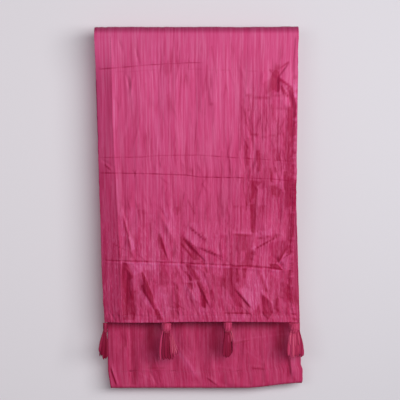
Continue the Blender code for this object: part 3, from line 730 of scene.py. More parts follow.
def listed_facet_light(x, z):
    """Painted light and shade of the facets that are given by their corners."""
    facet_shading = np.zeros_like(x)
    for value, *corners in FACETS:
        places = list(zip(picture_x(corners[0::2]).tolist(), picture_z(corners[1::2]).tolist()))
        inside = np.zeros(x.shape, dtype=bool)
        distance = np.full_like(x, 1.0)
        for (x0, z0), (x1, z1) in zip(places, places[1:] + places[:1]):
            run_x, run_z = x1 - x0, z1 - z0
            share = ((x - x0) * run_x + (z - z0) * run_z) / (run_x * run_x + run_z * run_z)
            share = np.clip(share, 0.0, 1.0)
            away = np.hypot(x - x0 - share * run_x, z - z0 - share * run_z)
            distance = np.minimum(distance, away)
            if z0 != z1:
                crossing = x0 + (z - z0) * run_x / run_z
                inside ^= ((z0 > z) != (z1 > z)) & (x < crossing)
        depth = np.where(inside, distance, -distance)
        facet_shading += value * smooth(depth / (FACET_EDGE * FRONT_PIXEL) + 0.5)
    return facet_shading


def side_band(across, drop):
    return smooth(1.0 - across * CLOTH_WIDTH / SIDE_HEM) * smooth(drop / CALM_HEIGHT)


def near_pocket(drop):
    return smooth(1.0 - (SEAM_DROP - drop) / CALM_HEIGHT)


def line_relief(x, drop):
    """Pressed lines: their height, and 0 to 1 of painted shade in the step."""
    total = np.zeros_like(x)
    painted_shade = np.zeros_like(x)
    for points, step, groove, ridge, start, end in PRESSED_LINES:
        fade = eased(x, picture_x(start), LINE_FADE)
        fade = fade * smooth((picture_x(end) - x) / LINE_FADE)
        wander = 0.75 + 0.9 * noise_field(x / LINE_PATCH, 0.0, step * LINE_LAYERS)
        below = (drop - guide_drop(points, x)) / LINE_WIDTH
        lip = np.clip(1.0 + below * LINE_WIDTH / OVERHANG, 0.0, 1.0) * (1.0 - smooth(below + 0.5))
        total += fade * wander * step * lip
        total -= fade * groove * bell(below - 0.5)
        total += fade * wander * ridge * bell((below - 3.2) / 1.9)
        dark = min((step + groove) / DARK_STEP, 1.0) * np.clip(wander, 0.0, 1.2)
        painted_shade = np.maximum(painted_shade, fade * dark * bell((below - 0.3) / 0.75))
    return total, painted_shade


def picture_folds(folds, pixel):
    """Folds that are given in picture pixels, in metres."""
    placed = []
    for *ends, height, left, right in folds:
        placed.append((*line_ends(ends, pixel), height, left * pixel, right * pixel))
    return placed


def random_folds(seed, count, box, lean, spread, longest, height):
    """Short creases in a box of picture columns and rows."""
    rng = random.Random(seed)
    placed = []
    for _ in range(count):
        x = float(picture_x(rng.uniform(box[0], box[1])))
        z = float(picture_z(rng.uniform(box[2], box[3])))
        slant = rng.gauss(lean, spread)
        length = longest * rng.uniform(0.30, 1.0)
        dx = 0.5 * length * math.sin(slant)
        dz = 0.5 * length * math.cos(slant)
        tall = height * rng.uniform(0.4, 1.0)
        narrow = rng.uniform(*CREASE_NARROW)
        wide = rng.uniform(*CREASE_WIDE)
        sides = (narrow, wide) if rng.random() < STEEP_LEFT else (wide, narrow)
        placed.append((x - dx, z + dz, x + dx, z - dz, tall, *sides))
    return placed


def fold_relief(x, z, folds):
    """Slanting folds, a crest with a flat facet on each side: height, and 0 to 1 of painted shade
    in a crease.
    """
    total = np.zeros_like(x)
    painted_shade = np.zeros_like(x)
    for x0, z0, x1, z1, height, left, right in folds:
        length = math.hypot(x1 - x0, z1 - z0)
        ux, uz = (x1 - x0) / length, (z1 - z0) / length
        part = ((x - x0) * ux + (z - z0) * uz) / length
        side = (x - x0) * uz - (z - z0) * ux
        if uz > 0.0:
            side = -side
        width = np.where(side > 0.0, left, right)
        crest = np.clip(1.0 - np.abs(side) / width, 0.0, 1.0)
        fade = smooth(part / 0.35 + 0.15) * smooth((1.0 - part) / 0.35 + 0.15)
        total += FOLD_STRENGTH * height * crest * fade
        if left < STEEP_WIDTH:
            line = bell((side - 0.9 * left) / (0.75 * left))
            painted_shade = np.maximum(painted_shade, line * fade * min(height / STEEP_HEIGHT, 1.0))
    return total, painted_shade


def random_strokes(seed, count, box, lean, spread, longest, strength):
    """Short strokes in a box of picture columns and rows."""
    rng = random.Random(seed)
    strokes = []
    for _ in range(count):
        column = rng.uniform(box[0], box[1])
        row = rng.uniform(box[2], box[3])
        slant = rng.gauss(lean, spread)
        length = longest * rng.uniform(0.25, 1.0)
        dx = 0.5 * length * math.sin(slant)
        dy = 0.5 * length * math.cos(slant)
        width = rng.uniform(0.5, 1.1)
        dark = strength * rng.uniform(0.4, 1.0)
        strokes.append((column - dx, row - dy, column + dx, row + dy, width, dark))
    return strokes


def stroke_shade(x, z, strokes, sets, pixel=FRONT_PIXEL):
    """Painted shade of creases, or painted highlight of crests, measured ones and sets of random
    ones.
    """
    strokes = list(strokes)
    for settings in sets:
        strokes += random_strokes(*settings)
    painted_shade = np.zeros_like(x)
    for *ends, width, dark in strokes:
        x0, z0, x1, z1 = line_ends(ends, pixel)
        dx, dz = x1 - x0, z1 - z0
        part = np.clip(((x - x0) * dx + (z - z0) * dz) / (dx * dx + dz * dz), 0.0, 1.0)
        away = np.hypot(x - x0 - part * dx, z - z0 - part * dz) / (width * pixel)
        painted_shade = np.maximum(painted_shade, dark * bell(away))
    return painted_shade


def crumple(x, drop):
    """Crumpled facets, strong in the lower part and down the right side of the front flap, with
    painted shade in their creases and painted light and shade on the facets.
    """
    low = eased(drop, *CRUMPLED_LOW)
    right = eased(x, *CRUMPLED_RIGHT) * eased(drop, *CRUMPLED_DOWN)
    fan = eased(drop, *CRUMPLED_FAN) * 0.5
    weight = np.clip(0.06 + 0.94 * np.maximum(low, 0.9 * right) + 0.3 * fan, 0.0, 1.0)
    large = facets(x, drop, *LARGE_FACETS)
    middle = facets(x, drop, *MIDDLE_FACETS)
    creases = np.zeros_like(x)
    painted_shade = np.zeros_like(x)
    for settings in CREASE_SETS:
        height, line = fold_relief(x, -drop, random_folds(*settings))
        creases += height
        painted_shade = np.maximum(painted_shade, line)
    facet_light = sum(share * random_facet_light(x, drop, *lattice) for share, *lattice in RANDOM_LIGHT_FACETS)
    facet_light = RANDOM_FACET_LIGHT * facet_light * weight + FACET_STRENGTH * listed_facet_light(x, -drop)
    return 0.6 * weight * (large + middle) + creases, 0.7 * painted_shade, weight, facet_light


def front_surface(across, drop):
    """Places on the front flap, and their painted shading and crumpled values."""
    left, right = front_edges(drop)
    x = left + (right - left) * across
    band_x = along(BAND_PLACES, drop)
    in_band = smooth((band_x - x) / STEP_SOFTNESS + 0.5)
    above_stitch = front_hem_drop(across) - STITCH_RISE
    in_hem = smooth((drop - above_stitch) / STEP_SOFTNESS + 0.5)
    in_right = smooth((x - (right - RIGHT_HEM)) / RIGHT_SOFTNESS + 0.5)
    depth, painted_shading = crinkle(across, drop, 20.0)
    depth = depth * (1.0 + 0.7 * eased(x, *DEEP_RIGHT) * eased(drop, *DEEP_DOWN))
    calm = (0.35 + 0.65 * smooth(drop / 0.03)) * (1.0 - 0.70 * in_band) * (1.0 - 0.45 * in_hem)
    relief = crush(across, drop, 0.0) * (1.0 - 0.35 * in_band) + depth * calm
    # Pressed lines, folds and crumples
    start = smooth(drop / 0.02)
    lines, line_shade = line_relief(x, drop)
    folds, fold_shade = fold_relief(x, -drop, picture_folds(FOLDS, FRONT_PIXEL))
    creases, crease_shade, crumpled, facet_light = crumple(x, drop)
    calm_marks = (1.0 - 0.75 * in_band) * (1.0 - 0.5 * in_hem)
    relief = relief + (lines + folds + creases * calm_marks) * start
    # Turned hems, and the puckers that their stitches draw
    turned = np.maximum(np.maximum(in_band, in_hem), in_right)
    relief = relief + HEM_STEP * turned * smooth(drop / 0.01)
    pucker = noise_field(drop / PUCKER_PITCH, across * 16.0, 51.0)
    at_right = eased(x, right - PUCKER_ZONE, PUCKER_GROWTH) * eased(drop, *PUCKERS_DOWN)
    relief = relief + PUCKER_DEPTH * pucker * at_right
    hem_x = across * CLOTH_WIDTH / HEM_PUCKER_PITCH
    hem_pucker = noise_field(hem_x, drop / HEM_PUCKER_RUN, 52.0)
    near_hem = bell((drop - above_stitch) / HEM_PUCKER_REACH)
    relief = relief + HEM_PUCKER_DEPTH * hem_pucker * np.maximum(near_hem, 0.6 * in_hem)
    dent = bell((drop - above_stitch - STITCH_DENT_DROP) / STITCH_DENT_WIDTH)
    relief = relief - STITCH_DENT * dent
    flat_lean = np.clip(1.0 - (x - left) / np.maximum(band_x - left, 0.001), 0.0, 1.0)
    lean = FRONT_EDGE_TURN * flat_lean * smooth(drop / CALM_HEIGHT)
    # Painted shade in creases, pressed lines and puckers
    painted_shade = np.maximum(np.maximum(fold_shade, crease_shade * calm_marks), 0.9 * line_shade)
    dark = stroke_shade(x, -drop, PAINTED_SHADES, STROKE_SETS)
    painted_shade = np.maximum(painted_shade, dark * (1.0 - 0.5 * in_hem))
    painted_shade = np.maximum(painted_shade, 1.6 * np.clip(-pucker, 0.0, 0.5) * at_right)
    painted_shading = np.maximum(0.75 * painted_shading * calm, painted_shade * start)
    # Painted highlights on crests and puckers, and painted light and shade of facets
    crest = stroke_shade(x, -drop, PAINTED_HIGHLIGHTS, HIGHLIGHT_SETS)
    crest = np.maximum(crest, 1.2 * np.clip(pucker, 0.0, 0.5) * at_right)
    crest = crest * (1.0 + np.clip(1.5 * facet_light, -1.0, 0.0))
    light = crest * (1.0 - 0.6 * in_band) + facet_light * (1.0 - 0.5 * in_band)
    values = np.stack([painted_shading - light * start, crumpled], axis=-1)
    return np.stack([x, -FLAP_RADIUS - relief + lean, -drop], axis=-1), values


def fold_surface(across, angle):
    """Places on the round top fold, angle 0 at the front flap and pi at the rear flap."""
    start, values = front_surface(across, np.zeros_like(across))
    gather = noise_field(across * CLOTH_WIDTH / GATHER_PITCH, angle / GATHER_TURN, 61.0)
    left_gather = smooth(1.0 - across / LEFT_GATHER_END)
    lift = FOLD_LIFT + GATHER_DEPTH * gather + LEFT_GATHER_DEPTH * gather * left_gather
    lift = lift + BUMP_HEIGHT * bell((across - BUMP_PLACE) / BUMP_REACH)
    radius = -start[..., 1] + lift * np.sin(angle)
    place = np.stack([start[..., 0], -radius * np.cos(angle), radius * np.sin(angle)], axis=-1)
    # Painted shade in the gathers of the top fold
    gathered = 0.35 * np.clip(-gather, 0.0, 1.0) * np.sin(angle)
    return place, values + np.stack([gathered, 0.0 * gathered], axis=-1)


def rear_surface(across, drop, behind=0.0):
    """Places on the rear flap, behind is the distance to the pocket's back layer."""
    left, right = rear_edges(drop)
    x = left + (right - left) * across
    blend = smooth(drop / CALM_HEIGHT)
    macro = crush(across, drop, 0.0) * (1.0 - blend) + crush(across, drop, 9.0) * blend
    depth, painted_shading = crinkle(across, drop, 70.0)
    top, _ = front_surface(across, np.zeros_like(across))
    top_relief = -top[..., 1] - FLAP_RADIUS - crush(across, np.zeros_like(across), 0.0)
    pocket = near_pocket(drop)
    macro = macro * (1.0 - (1.0 - POCKET_CALM_SHARE) * pocket)
    calm = blend * (1.0 - 0.35 * pocket)
    macro = macro - depth * calm + top_relief * (1.0 - blend)
    z = REAR_CORNER_RISE * smooth((across - 0.70) / 0.30) * smooth(drop / REAR_DROP) - drop
    # Folds and creases of the part that shows below the front flap
    shown = eased(drop, *REAR_SHOWN) * (0.0 if np.any(behind) else 1.0)
    folds, fold_shade = fold_relief(x, z, picture_folds(REAR_FOLDS, REAR_PIXEL))
    soft = facets(x, drop, *REAR_FACETS)
    macro = macro - (folds + soft) * shown
    # Painted shadows of the front hem and tassels, painted shade in creases, painted highlights on
    # crests
    painted_shade = stroke_shade(x, z, REAR_PAINTED_SHADES, REAR_STROKE_SETS, REAR_PIXEL)
    painted_shade = np.maximum(painted_shade, fold_shade) * shown
    crest = stroke_shade(x, z, REAR_PAINTED_HIGHLIGHTS, REAR_HIGHLIGHT_SETS, REAR_PIXEL) * shown
    macro = macro + SEAM_DENT * bell((drop - SEAM_DROP) / SEAM_DENT_WIDTH)
    lean = REAR_EDGE_TURN * side_band(across, drop) * (1.0 - pocket)
    painted_shading = np.maximum(painted_shading * calm, painted_shade) - crest
    values = np.stack([painted_shading, np.full_like(painted_shading, REAR_CRUMPLED)], axis=-1)
    return np.stack([x, FLAP_RADIUS + macro - lean + behind, z], axis=-1), values


def eased_steps(count):
    """Shares from 0 up to 1, closer together near both ends."""
    step = np.arange(count) / count
    return step - 0.55 * np.sin(math.tau * step) / math.tau


def front_rows(across):
    """Drop of each row of the front flap, from the hem up, at every place across."""
    left, right = front_edges(np.full_like(across, 0.2))
    x = left + (right - left) * across
    hem = front_hem_drop(across)
    stops = [np.zeros_like(across)]
    stops += [guide_drop(points, x) for points in LINE_GUIDES]
    stops += [hem - STITCH_RISE, hem]
    rows = []
    for low, high, count in zip(stops, stops[1:], ROWS_BETWEEN):
        for share in eased_steps(count):
            rows.append(low + (high - low) * share)
    rows.append(hem)
    return rows[::-1]


def cloth_blocks():
    """Places, values and inward directions of all rows, from the hem's edge to the pocket's."""
    line = np.linspace(0.0, 1.0, COLUMNS + 1)
    parts = []

    def spread(rows):
        return np.broadcast_to(rows[:, None], (len(rows), COLUMNS + 1))

    def add_rows(surface, inward):
        places, values = surface
        parts.append((places, values, np.broadcast_to(np.asarray(inward), places.shape)))

    def add_rear(drops, behind=0.0):
        across = np.broadcast_to(line, drops.shape)
        add_rows(rear_surface(across, drops, behind), (0.0, -1.0, 0.0))

    drops = np.array(front_rows(line))
    front, values = front_surface(np.broadcast_to(line, drops.shape), drops)
    steps = [(0.0, back, -down) for down, back in ((-1.6, 2.0), (0.87, 1.5), (0.87, 0.5))]
    turn = np.array([front[0] + np.array(step) * CURL_RADIUS for step in steps])
    add_rows((turn, np.tile(values[0], (len(turn), 1, 1))), (0.0, 1.0, 0.0))
    add_rows((front, values), (0.0, 1.0, 0.0))
    angles = spread(np.linspace(0.0, math.pi, FOLD_ROWS + 1)[1:-1])
    inward = np.stack([0.0 * angles, np.cos(angles), -np.sin(angles)], axis=-1)
    add_rows(fold_surface(np.broadcast_to(line, angles.shape), angles), inward)
    hidden = np.linspace(0.0, REAR_SHOWN_DROP, REAR_HIDDEN_ROWS, endpoint=False)
    shown = np.linspace(REAR_SHOWN_DROP, SEAM_DROP, REAR_SHOWN_ROWS, endpoint=False)
    pocket = np.linspace(SEAM_DROP, REAR_DROP - BEND_RADIUS, POCKET_ROWS, endpoint=False)
    add_rear(spread(np.concatenate([hidden, shown, pocket])))
    angles = spread(np.linspace(0.0, math.pi, BEND_ROWS, endpoint=False))
    bottom = REAR_DROP - BEND_RADIUS
    add_rear(bottom + BEND_RADIUS * np.sin(angles), BEND_RADIUS * (1.0 - np.cos(angles)))
    shares = spread(np.linspace(0.0, 1.0, POCKET_ROWS + 1))
    behind = POCKET_DEPTH * np.sqrt(1.0 - shares) + POCKET_GAP
    add_rear(bottom - shares * (POCKET_HEIGHT - BEND_RADIUS), behind)
    return [np.concatenate(column) for column in zip(*parts)]


def add_curls(places, values, inward):
    """Turn both side edges over to the inner side."""
    left = []
    right = []
    for out, back in ((-CURL_RETURN, 2.0), (0.87 * CURL_RADIUS, 1.5), (0.87 * CURL_RADIUS, 0.5)):
        shift = inward * back * CURL_RADIUS
        across = np.zeros_like(places)
        across[..., 0] = out
        left.append((places + shift - across)[:, 0])
        right.append((places + shift + across)[:, -1])
    edge = len(left)
    left = np.stack(left, axis=1)
    right = np.stack(right[::-1], axis=1)
    places = np.concatenate([left, places, right], axis=1)
    return places, np.pad(values, ((0, 0), (edge, edge), (0, 0)), mode="edge")


def grid_faces(rows, columns):
    index = np.arange(rows * columns).reshape(rows, columns)
    corners = [index[:-1, :-1], index[:-1, 1:], index[1:, 1:], index[1:, :-1]]
    return np.stack(corners, axis=-1).reshape(-1, 4)


def mesh_object(name, vertices, faces, material, smooth_faces=True):
    """A new object from plain lists."""
    mesh = bpy.data.meshes.new(name)
    mesh.from_pydata([tuple(v) for v in vertices], [], [tuple(f) for f in faces])
    mesh.materials.append(material)
    if smooth_faces:
        mesh.shade_smooth()
    item = bpy.data.objects.new(name, mesh)
    bpy.context.scene.collection.objects.link(item)
    return item


def set_uv(mesh, coordinates):
    """Give each corner the flat place of its vertex, in metres."""
    layer = mesh.uv_layers.new(name="flat")
    corners = np.zeros(len(mesh.loops), dtype=np.int32)
    mesh.loops.foreach_get("vertex_index", corners)
    layer.data.foreach_set("uv", coordinates[corners].ravel().astype(np.float32))


def set_attribute(mesh, name, values):
    layer = mesh.attributes.new(name=name, type="FLOAT", domain="POINT")
    layer.data.foreach_set("value", values.ravel().astype(np.float32))


def slope_shade(mesh, shape):
    """Painted shade on slopes turned from the light, and painted light on slopes turned to it."""
    normals = np.empty(len(mesh.vertices) * 3)
    mesh.vertices.foreach_get("normal", normals)
    normals = normals.reshape(-1, 3)
    upright = np.abs(normals[:, 1])
    facing = normals * -np.sign(normals[:, 1])[:, None]
    lit = facing @ np.array(LIT_SIDE) / abs(LIT_SIDE[1]) - 1.0
    painted_shade = np.clip(-SLOPE_SHADE * lit, -SLOPE_LIMIT, SLOPE_LIMIT)
    return (painted_shade * smooth((upright - 0.4) / 0.4)).reshape(shape)


def make_cloth(material):
    """The whole cloth as one fine sheet."""
    blocks = cloth_blocks()
    places, values = add_curls(*blocks)
    rows, columns = values.shape[:2]
    faces = grid_faces(rows, columns).tolist()
    cloth = mesh_object("crushed_panel", places.reshape(-1, 3).tolist(), faces, material)
    middle = places[:, columns // 2]
    steps = np.linalg.norm(np.diff(middle, axis=0), axis=1)
    length = np.concatenate([[0.0], np.cumsum(steps)])
    flat_x = np.linspace(0.0, CLOTH_WIDTH, columns)
    set_uv(cloth.data, np.stack(np.meshgrid(flat_x, length), axis=-1).reshape(-1, 2))
    # Painted shading: shade in valleys and creases, painted shadows, highlights and slope light
    set_attribute(cloth.data, "painted_shading", values[..., 0] + slope_shade(cloth.data, (rows, columns)))
    set_attribute(cloth.data, "crumpled", values[..., 1])
    # Height on the top fold, which sets its painted shade
    set_attribute(cloth.data, "top_fold", np.clip(places[..., 2] / FLAP_RADIUS, 0.0, 1.0))
    return cloth


def tube(points, radius, sides, vertices, faces):
    """Add a closed tube along points to lists of vertices and faces."""
    points = [Vector(point) for point in points]
    base = len(vertices)
    for index, point in enumerate(points):
        before = points[max(index - 1, 0)]
        after = points[min(index + 1, len(points) - 1)]
        along_tube = (after - before).normalized()
        side = along_tube.cross(Vector((0.31, 0.17, 0.93))).normalized()
        up = along_tube.cross(side)
        for number in range(sides):
            angle = math.tau * number / sides
            vertices.append(point + (side * math.cos(angle) + up * math.sin(angle)) * radius)
    for ring in range(len(points) - 1):
        for number in range(sides):
            a = base + ring * sides + number
            b = base + ring * sides + (number + 1) % sides
            faces.append((a, b, b + sides, a + sides))
    last = base + (len(points) - 1) * sides
    faces.append(tuple(base + number for number in reversed(range(sides))))
    faces.append(tuple(last + number for number in range(sides)))


def stitches(name, path, outward, material):
    """Single stitches along a path on the cloth."""
    path = [Vector(point) for point in path]
    lengths = [0.0]
    for before, after in zip(path, path[1:]):
        lengths.append(lengths[-1] + (after - before).length)
    columns = np.array([list(point) for point in path])

    def at(distance):
        return Vector([float(np.interp(distance, lengths, columns[:, k])) for k in range(3)])

    vertices = []
    faces = []
    outward = Vector(outward)
    for number in range(int(lengths[-1] / STITCH_PITCH)):
        start = (number + 0.5 * (1.0 - STITCH_SHARE)) * STITCH_PITCH
        points = []
        for step in range(5):
            share = step / 4.0
            lift = THREAD_RADIUS * (3.2 * math.sin(math.pi * share) - 1.2)
            points.append(at(start + share * STITCH_SHARE * STITCH_PITCH) + outward * lift)
        tube(points, THREAD_RADIUS, 5, vertices, faces)
    return mesh_object(name, vertices, faces, material)


def make_stitches(material):
    """Seam threads of the hems and the rod pocket."""
    line = np.linspace(0.012, 0.988, STITCH_PLACES)
    drops = np.linspace(0.004, FRONT_DROP - 0.016, STITCH_PLACES)
    left, right = front_edges(drops)
    band = along(BAND_PLACES, drops)
    seam = np.full(STITCH_PLACES, SEAM_DROP + POCKET_STITCH)
    hem_path, _ = front_surface(line, front_hem_drop(line) - STITCH_RISE + HEM_STITCH)
    band_path, _ = front_surface((band - BAND_STITCH - left) / (right - left), drops)
    right_path, _ = front_surface((right - RIGHT_STITCH - left) / (right - left), drops)
    pocket_path, _ = rear_surface(line, seam)
    back_path, _ = rear_surface(line, seam, np.full(STITCH_PLACES, POCKET_BACK))
    runs = (
        ("front_hem_stitches", hem_path, -1.0),
        ("side_band_stitches", band_path, -1.0),
        ("right_hem_stitches", right_path, -1.0),
        ("pocket_seam_stitches", pocket_path, -1.0),
        ("pocket_back_stitches", back_path, 1.0),
    )
    return [stitches(name, path, (0.0, out, 0.0), material) for name, path, out in runs]


def tassel_top(across):
    """Top of a tassel's head, just under the front hem's lower edge."""
    line = np.array([across])
    edge, _ = front_surface(line, front_hem_drop(line))
    return Vector(edge[0].tolist()) - Vector((0.0, 0.0, CLEARANCE))


def head_profile(share, wide):
    """Radius and height of a tassel's rolled head at a share from its top to its neck."""
    shoulder = math.sqrt(max(1.0 - (1.0 - min(share / 0.07, 1.0)) ** 2, 0.0))
    waist = float(smooth((share - 0.55) / 0.35))
    radius = HEAD_RADIUS * wide * shoulder * (1.0 - 0.16 * waist)
    return radius, -(HEAD_HEIGHT + NECK_HEIGHT) * share


def add_head(seed, wide, vertices, faces):
    """Crumpled rolled cloth of a tassel's head."""
    base = len(vertices)
    for row in range(HEAD_ROWS + 1):
        share = row / HEAD_ROWS
        radius, z = head_profile(max(share, 0.004), wide)
        for number in range(HEAD_AROUND):
            angle = math.tau * number / HEAD_AROUND
            twist = angle + 0.9 * share
            x, y = math.cos(twist), math.sin(twist)
            pleat = noise.noise((2.6 * x, 2.6 * y, seed + 0.8 * share))
            small = noise.noise((6.0 * x, 6.0 * y, seed + 2.5 * share))
            bulge = radius * (1.0 + 0.14 * pleat + 0.10 * small)
            vertices.append(Vector((bulge * math.cos(angle), bulge * math.sin(angle), z)))
    for row in range(HEAD_ROWS):
        for number in range(HEAD_AROUND):
            a = base + row * HEAD_AROUND + number
            b = base + row * HEAD_AROUND + (number + 1) % HEAD_AROUND
            faces.append((a, a + HEAD_AROUND, b + HEAD_AROUND, b))
    last = base + HEAD_ROWS * HEAD_AROUND
    faces.append(tuple(base + number for number in range(HEAD_AROUND)))
    faces.append(tuple(last + number for number in reversed(range(HEAD_AROUND))))


def strip_path(root, end, bow, width, turns, heading):
    """Middle line, width direction and width of one cut strip."""
    rows = []
    middle = (root + end) / 2.0 + Vector((bow, 0.0, 0.0))
    for step in range(STRIP_ROWS + 1):
        share = step / STRIP_ROWS
        left = 1.0 - share
        place = root * left ** 2 + middle * 2.0 * share * left + end * share ** 2
        turn = heading + math.tau * turns * share
        full = 0.45 + 0.55 * float(smooth(share / 0.55))
        tip = math.sqrt(max(1.0 - (max(share - 0.78, 0.0) / 0.22) ** 2, 0.0))
        side = Vector((math.cos(turn), math.sin(turn), 0.0))
        rows.append((place, side, width * full * max(tip, 0.10)))
    return rows


def front_strips(number, wide):
    """The strips that the picture shows."""
    rng = random.Random(700 + number)
    strips = []
    for index, (column, row, bow, width, turns, painted_shade) in enumerate(STRIPS[number - 1]):
        side = max(min(column / 9.0, 0.8), -0.8)
        root = Vector((wide * HEAD_RADIUS * side, -HEAD_RADIUS * 0.62 * wide, 0.0))
        root.z = -HEAD_HEIGHT + 0.002 * rng.random()
        depth = -STRIP_FRONT - STRIP_LAYER * index
        end = Vector((column * FRONT_PIXEL, depth, -row * FRONT_PIXEL))
        heading = rng.uniform(-0.35, 0.35)
        rows = strip_path(root, end, bow * FRONT_PIXEL, width * FRONT_PIXEL, turns, heading)
        strips.append((rows, painted_shade))
    return strips


def filler_strips(number, wide, lean, spread):
    """Strips at the middle and the back of a skirt."""
    rng = random.Random(400 + number)
    strips = []
    for index in range(FILLER_COUNT):
        angle = math.pi * (index + rng.uniform(0.2, 0.8)) / FILLER_COUNT
        root = Vector((math.cos(angle), math.sin(angle), 0.0)) * HEAD_RADIUS * wide * 0.7
        root.z = -HEAD_HEIGHT - NECK_HEIGHT * 0.5
        reach = spread * rng.uniform(0.55, 0.90)
        end = Vector((lean + reach * math.cos(angle), 0.75 * TASSEL_DEPTH * math.sin(angle), 0.0))
        end.z = -TASSEL_LENGTH + rng.uniform(0.001, 0.007)
        width = FILLER_WIDTH * rng.uniform(0.8, 1.15)
        heading = angle + math.pi / 2.0 + rng.uniform(-0.5, 0.5)
        rows = strip_path(root, end, rng.uniform(-0.002, 0.002), width, 0.05, heading)
        strips.append((rows, FILLER_PAINTED_SHADE))
    return strips


def add_strip(rows, vertices, faces):
    """One cut strip with a shallow cup across it and its own thickness."""
    base = len(vertices)
    count = STRIP_ACROSS + 1
    for face_side in (1.0, -1.0):
        for middle, side, width in rows:
            normal = side.cross(Vector((0.0, 0.0, 1.0))).normalized()
            for number in range(count):
                across = number / STRIP_ACROSS - 0.5
                cup = STRIP_CUP * width * (1.0 - 4.0 * across * across)
                place = middle + side * width * across + normal * (cup + face_side * STRIP_PLY / 2)
                vertices.append(place)
    sheet = len(rows) * count
    for row in range(len(rows) - 1):
        for number in range(STRIP_ACROSS):
            a = base + row * count + number
            faces.append((a, a + 1, a + 1 + count, a + count))
            b = a + sheet
            faces.append((b, b + count, b + 1 + count, b + 1))
    border = [base + number for number in range(count)]
    border += [base + row * count + count - 1 for row in range(1, len(rows))]
    border += [base + (len(rows) - 1) * count + number for number in reversed(range(count - 1))]
    border += [base + row * count for row in reversed(range(1, len(rows) - 1))]
    for a, b in zip(border, border[1:] + border[:1]):
        faces.append((b, a, a + sheet, b + sheet))


def make_winding(number, top, wide, material):
    """Thread wound round a tassel's neck."""
    path = []
    for step in range(WINDING_STEPS + 1):
        angle = math.tau * WINDING_TURNS * step / WINDING_STEPS
        rise = NECK_HEIGHT * (0.5 - step / WINDING_STEPS) * 0.9
        radius = 0.84 * HEAD_RADIUS * wide + 0.0003 + 0.0002 * math.sin(3.0 * angle + number)
        centre = top + Vector((0.0, 0.0, -HEAD_HEIGHT - NECK_HEIGHT / 2.0 + rise))
        path.append(centre + Vector((radius * math.cos(angle), radius * math.sin(angle), 0.0)))
    vertices = []
    faces = []
    tube(path, WINDING_RADIUS, 6, vertices, faces)
    return mesh_object("tassel_{}_winding".format(number), vertices, faces, material)


def make_tassel(number, setting, cloth_material, thread_material):
    """One tassel: rolled head with its cut strips, and the thread wound round its neck."""
    across, lean, spread = setting
    top = tassel_top(across)
    wide = HEAD_WIDTHS[number - 1]
    vertices = []
    faces = []
    add_head(10.0 * number, wide, vertices, faces)
    # Painted light and shade of each vertex of the head and strips
    painted_shades = [HEAD_PAINTED_SHADES[number - 1]] * len(vertices)
    strips = front_strips(number, wide)
    strips += filler_strips(number, wide, lean * TASSEL_LENGTH, spread * TASSEL_LENGTH)
    for rows, painted_shade in strips:
        add_strip(rows, vertices, faces)
        painted_shades += [painted_shade] * (len(vertices) - len(painted_shades))
    placed = [v + top for v in vertices]
    body = mesh_object("tassel_{}_cloth".format(number), placed, faces, cloth_material)
    set_uv(body.data, np.array([(v.x + 0.6 * v.y, v.z) for v in vertices]))
    set_attribute(body.data, "painted_shade", np.array(painted_shades))
    return body, make_winding(number, top, wide, thread_material)


def new_material(name, colour, roughness):
    material = bpy.data.materials.new(name)
    material.use_nodes = True
    shader = material.node_tree.nodes["Principled BSDF"]
    shader.inputs["Base Color"].default_value = (*colour, 1.0)
    shader.inputs["Roughness"].default_value = roughness
    return material, material.node_tree, shader


def add_node(tree, kind, **values):
    node = tree.nodes.new(kind)
    for name, value in values.items():
        setattr(node, name, value)
    return node


def feed(tree, socket, value):
    """Give an input a socket, a colour or a number."""
    if isinstance(value, bpy.types.NodeSocket):
        tree.links.new(value, socket)
    elif isinstance(value, tuple):
        socket.default_value = (*value, 1.0)
    else:
        socket.default_value = value


def math_node(tree, operation, *values):
    """A sum of numbers and sockets."""
    node = add_node(tree, "ShaderNodeMath", operation=operation)
    for socket, value in zip(node.inputs, values):
        feed(tree, socket, value)
    return node.outputs["Value"]


def map_range(tree, source, low, high, to_low, to_high):
    """A value moved from one range to another."""
    node = add_node(tree, "ShaderNodeMapRange")
    limits = {"From Min": low, "From Max": high, "To Min": to_low, "To Max": to_high}
    for name, value in limits.items():
        node.inputs[name].default_value = value
    tree.links.new(source, node.inputs["Value"])
    return node.outputs["Result"]


def attribute(tree, name):
    return add_node(tree, "ShaderNodeAttribute", attribute_name=name).outputs["Fac"]


def stretched_noise(tree, source, across, down, detail, seed):
    """Noise whose cells are across by down metres large."""
    mapping = add_node(tree, "ShaderNodeMapping")
    mapping.inputs["Scale"].default_value = (1.0 / across, 1.0 / down, 1.0)
    mapping.inputs["Location"].default_value = (seed, seed * 0.37, 0.0)
    tree.links.new(source, mapping.inputs["Vector"])
    texture = add_node(tree, "ShaderNodeTexNoise", noise_dimensions="2D")
    texture.inputs["Scale"].default_value = 1.0
    texture.inputs["Detail"].default_value = detail
    texture.inputs["Roughness"].default_value = 0.55
    tree.links.new(mapping.outputs["Vector"], texture.inputs["Vector"])
    return texture.outputs["Fac"]


def ramp(tree, source, stops):
    """A colour ramp, stops are (position, colour)."""
    node = add_node(tree, "ShaderNodeValToRGB")
    elements = node.color_ramp.elements
    while len(elements) < len(stops):
        elements.new(0.5)
    for element, (position, colour) in zip(elements, stops):
        element.position = position
        element.color = (*colour, 1.0)
    tree.links.new(source, node.inputs["Fac"])
    return node.outputs["Color"]


def mix(tree, kind, factor, first, second):
    """Mix two colours, the factor is a number or a socket."""
    node = add_node(tree, "ShaderNodeMix", data_type="RGBA", blend_type=kind)
    for number, value in ((0, factor), (6, first), (7, second)):
        feed(tree, node.inputs[number], value)
    return node.outputs[2]


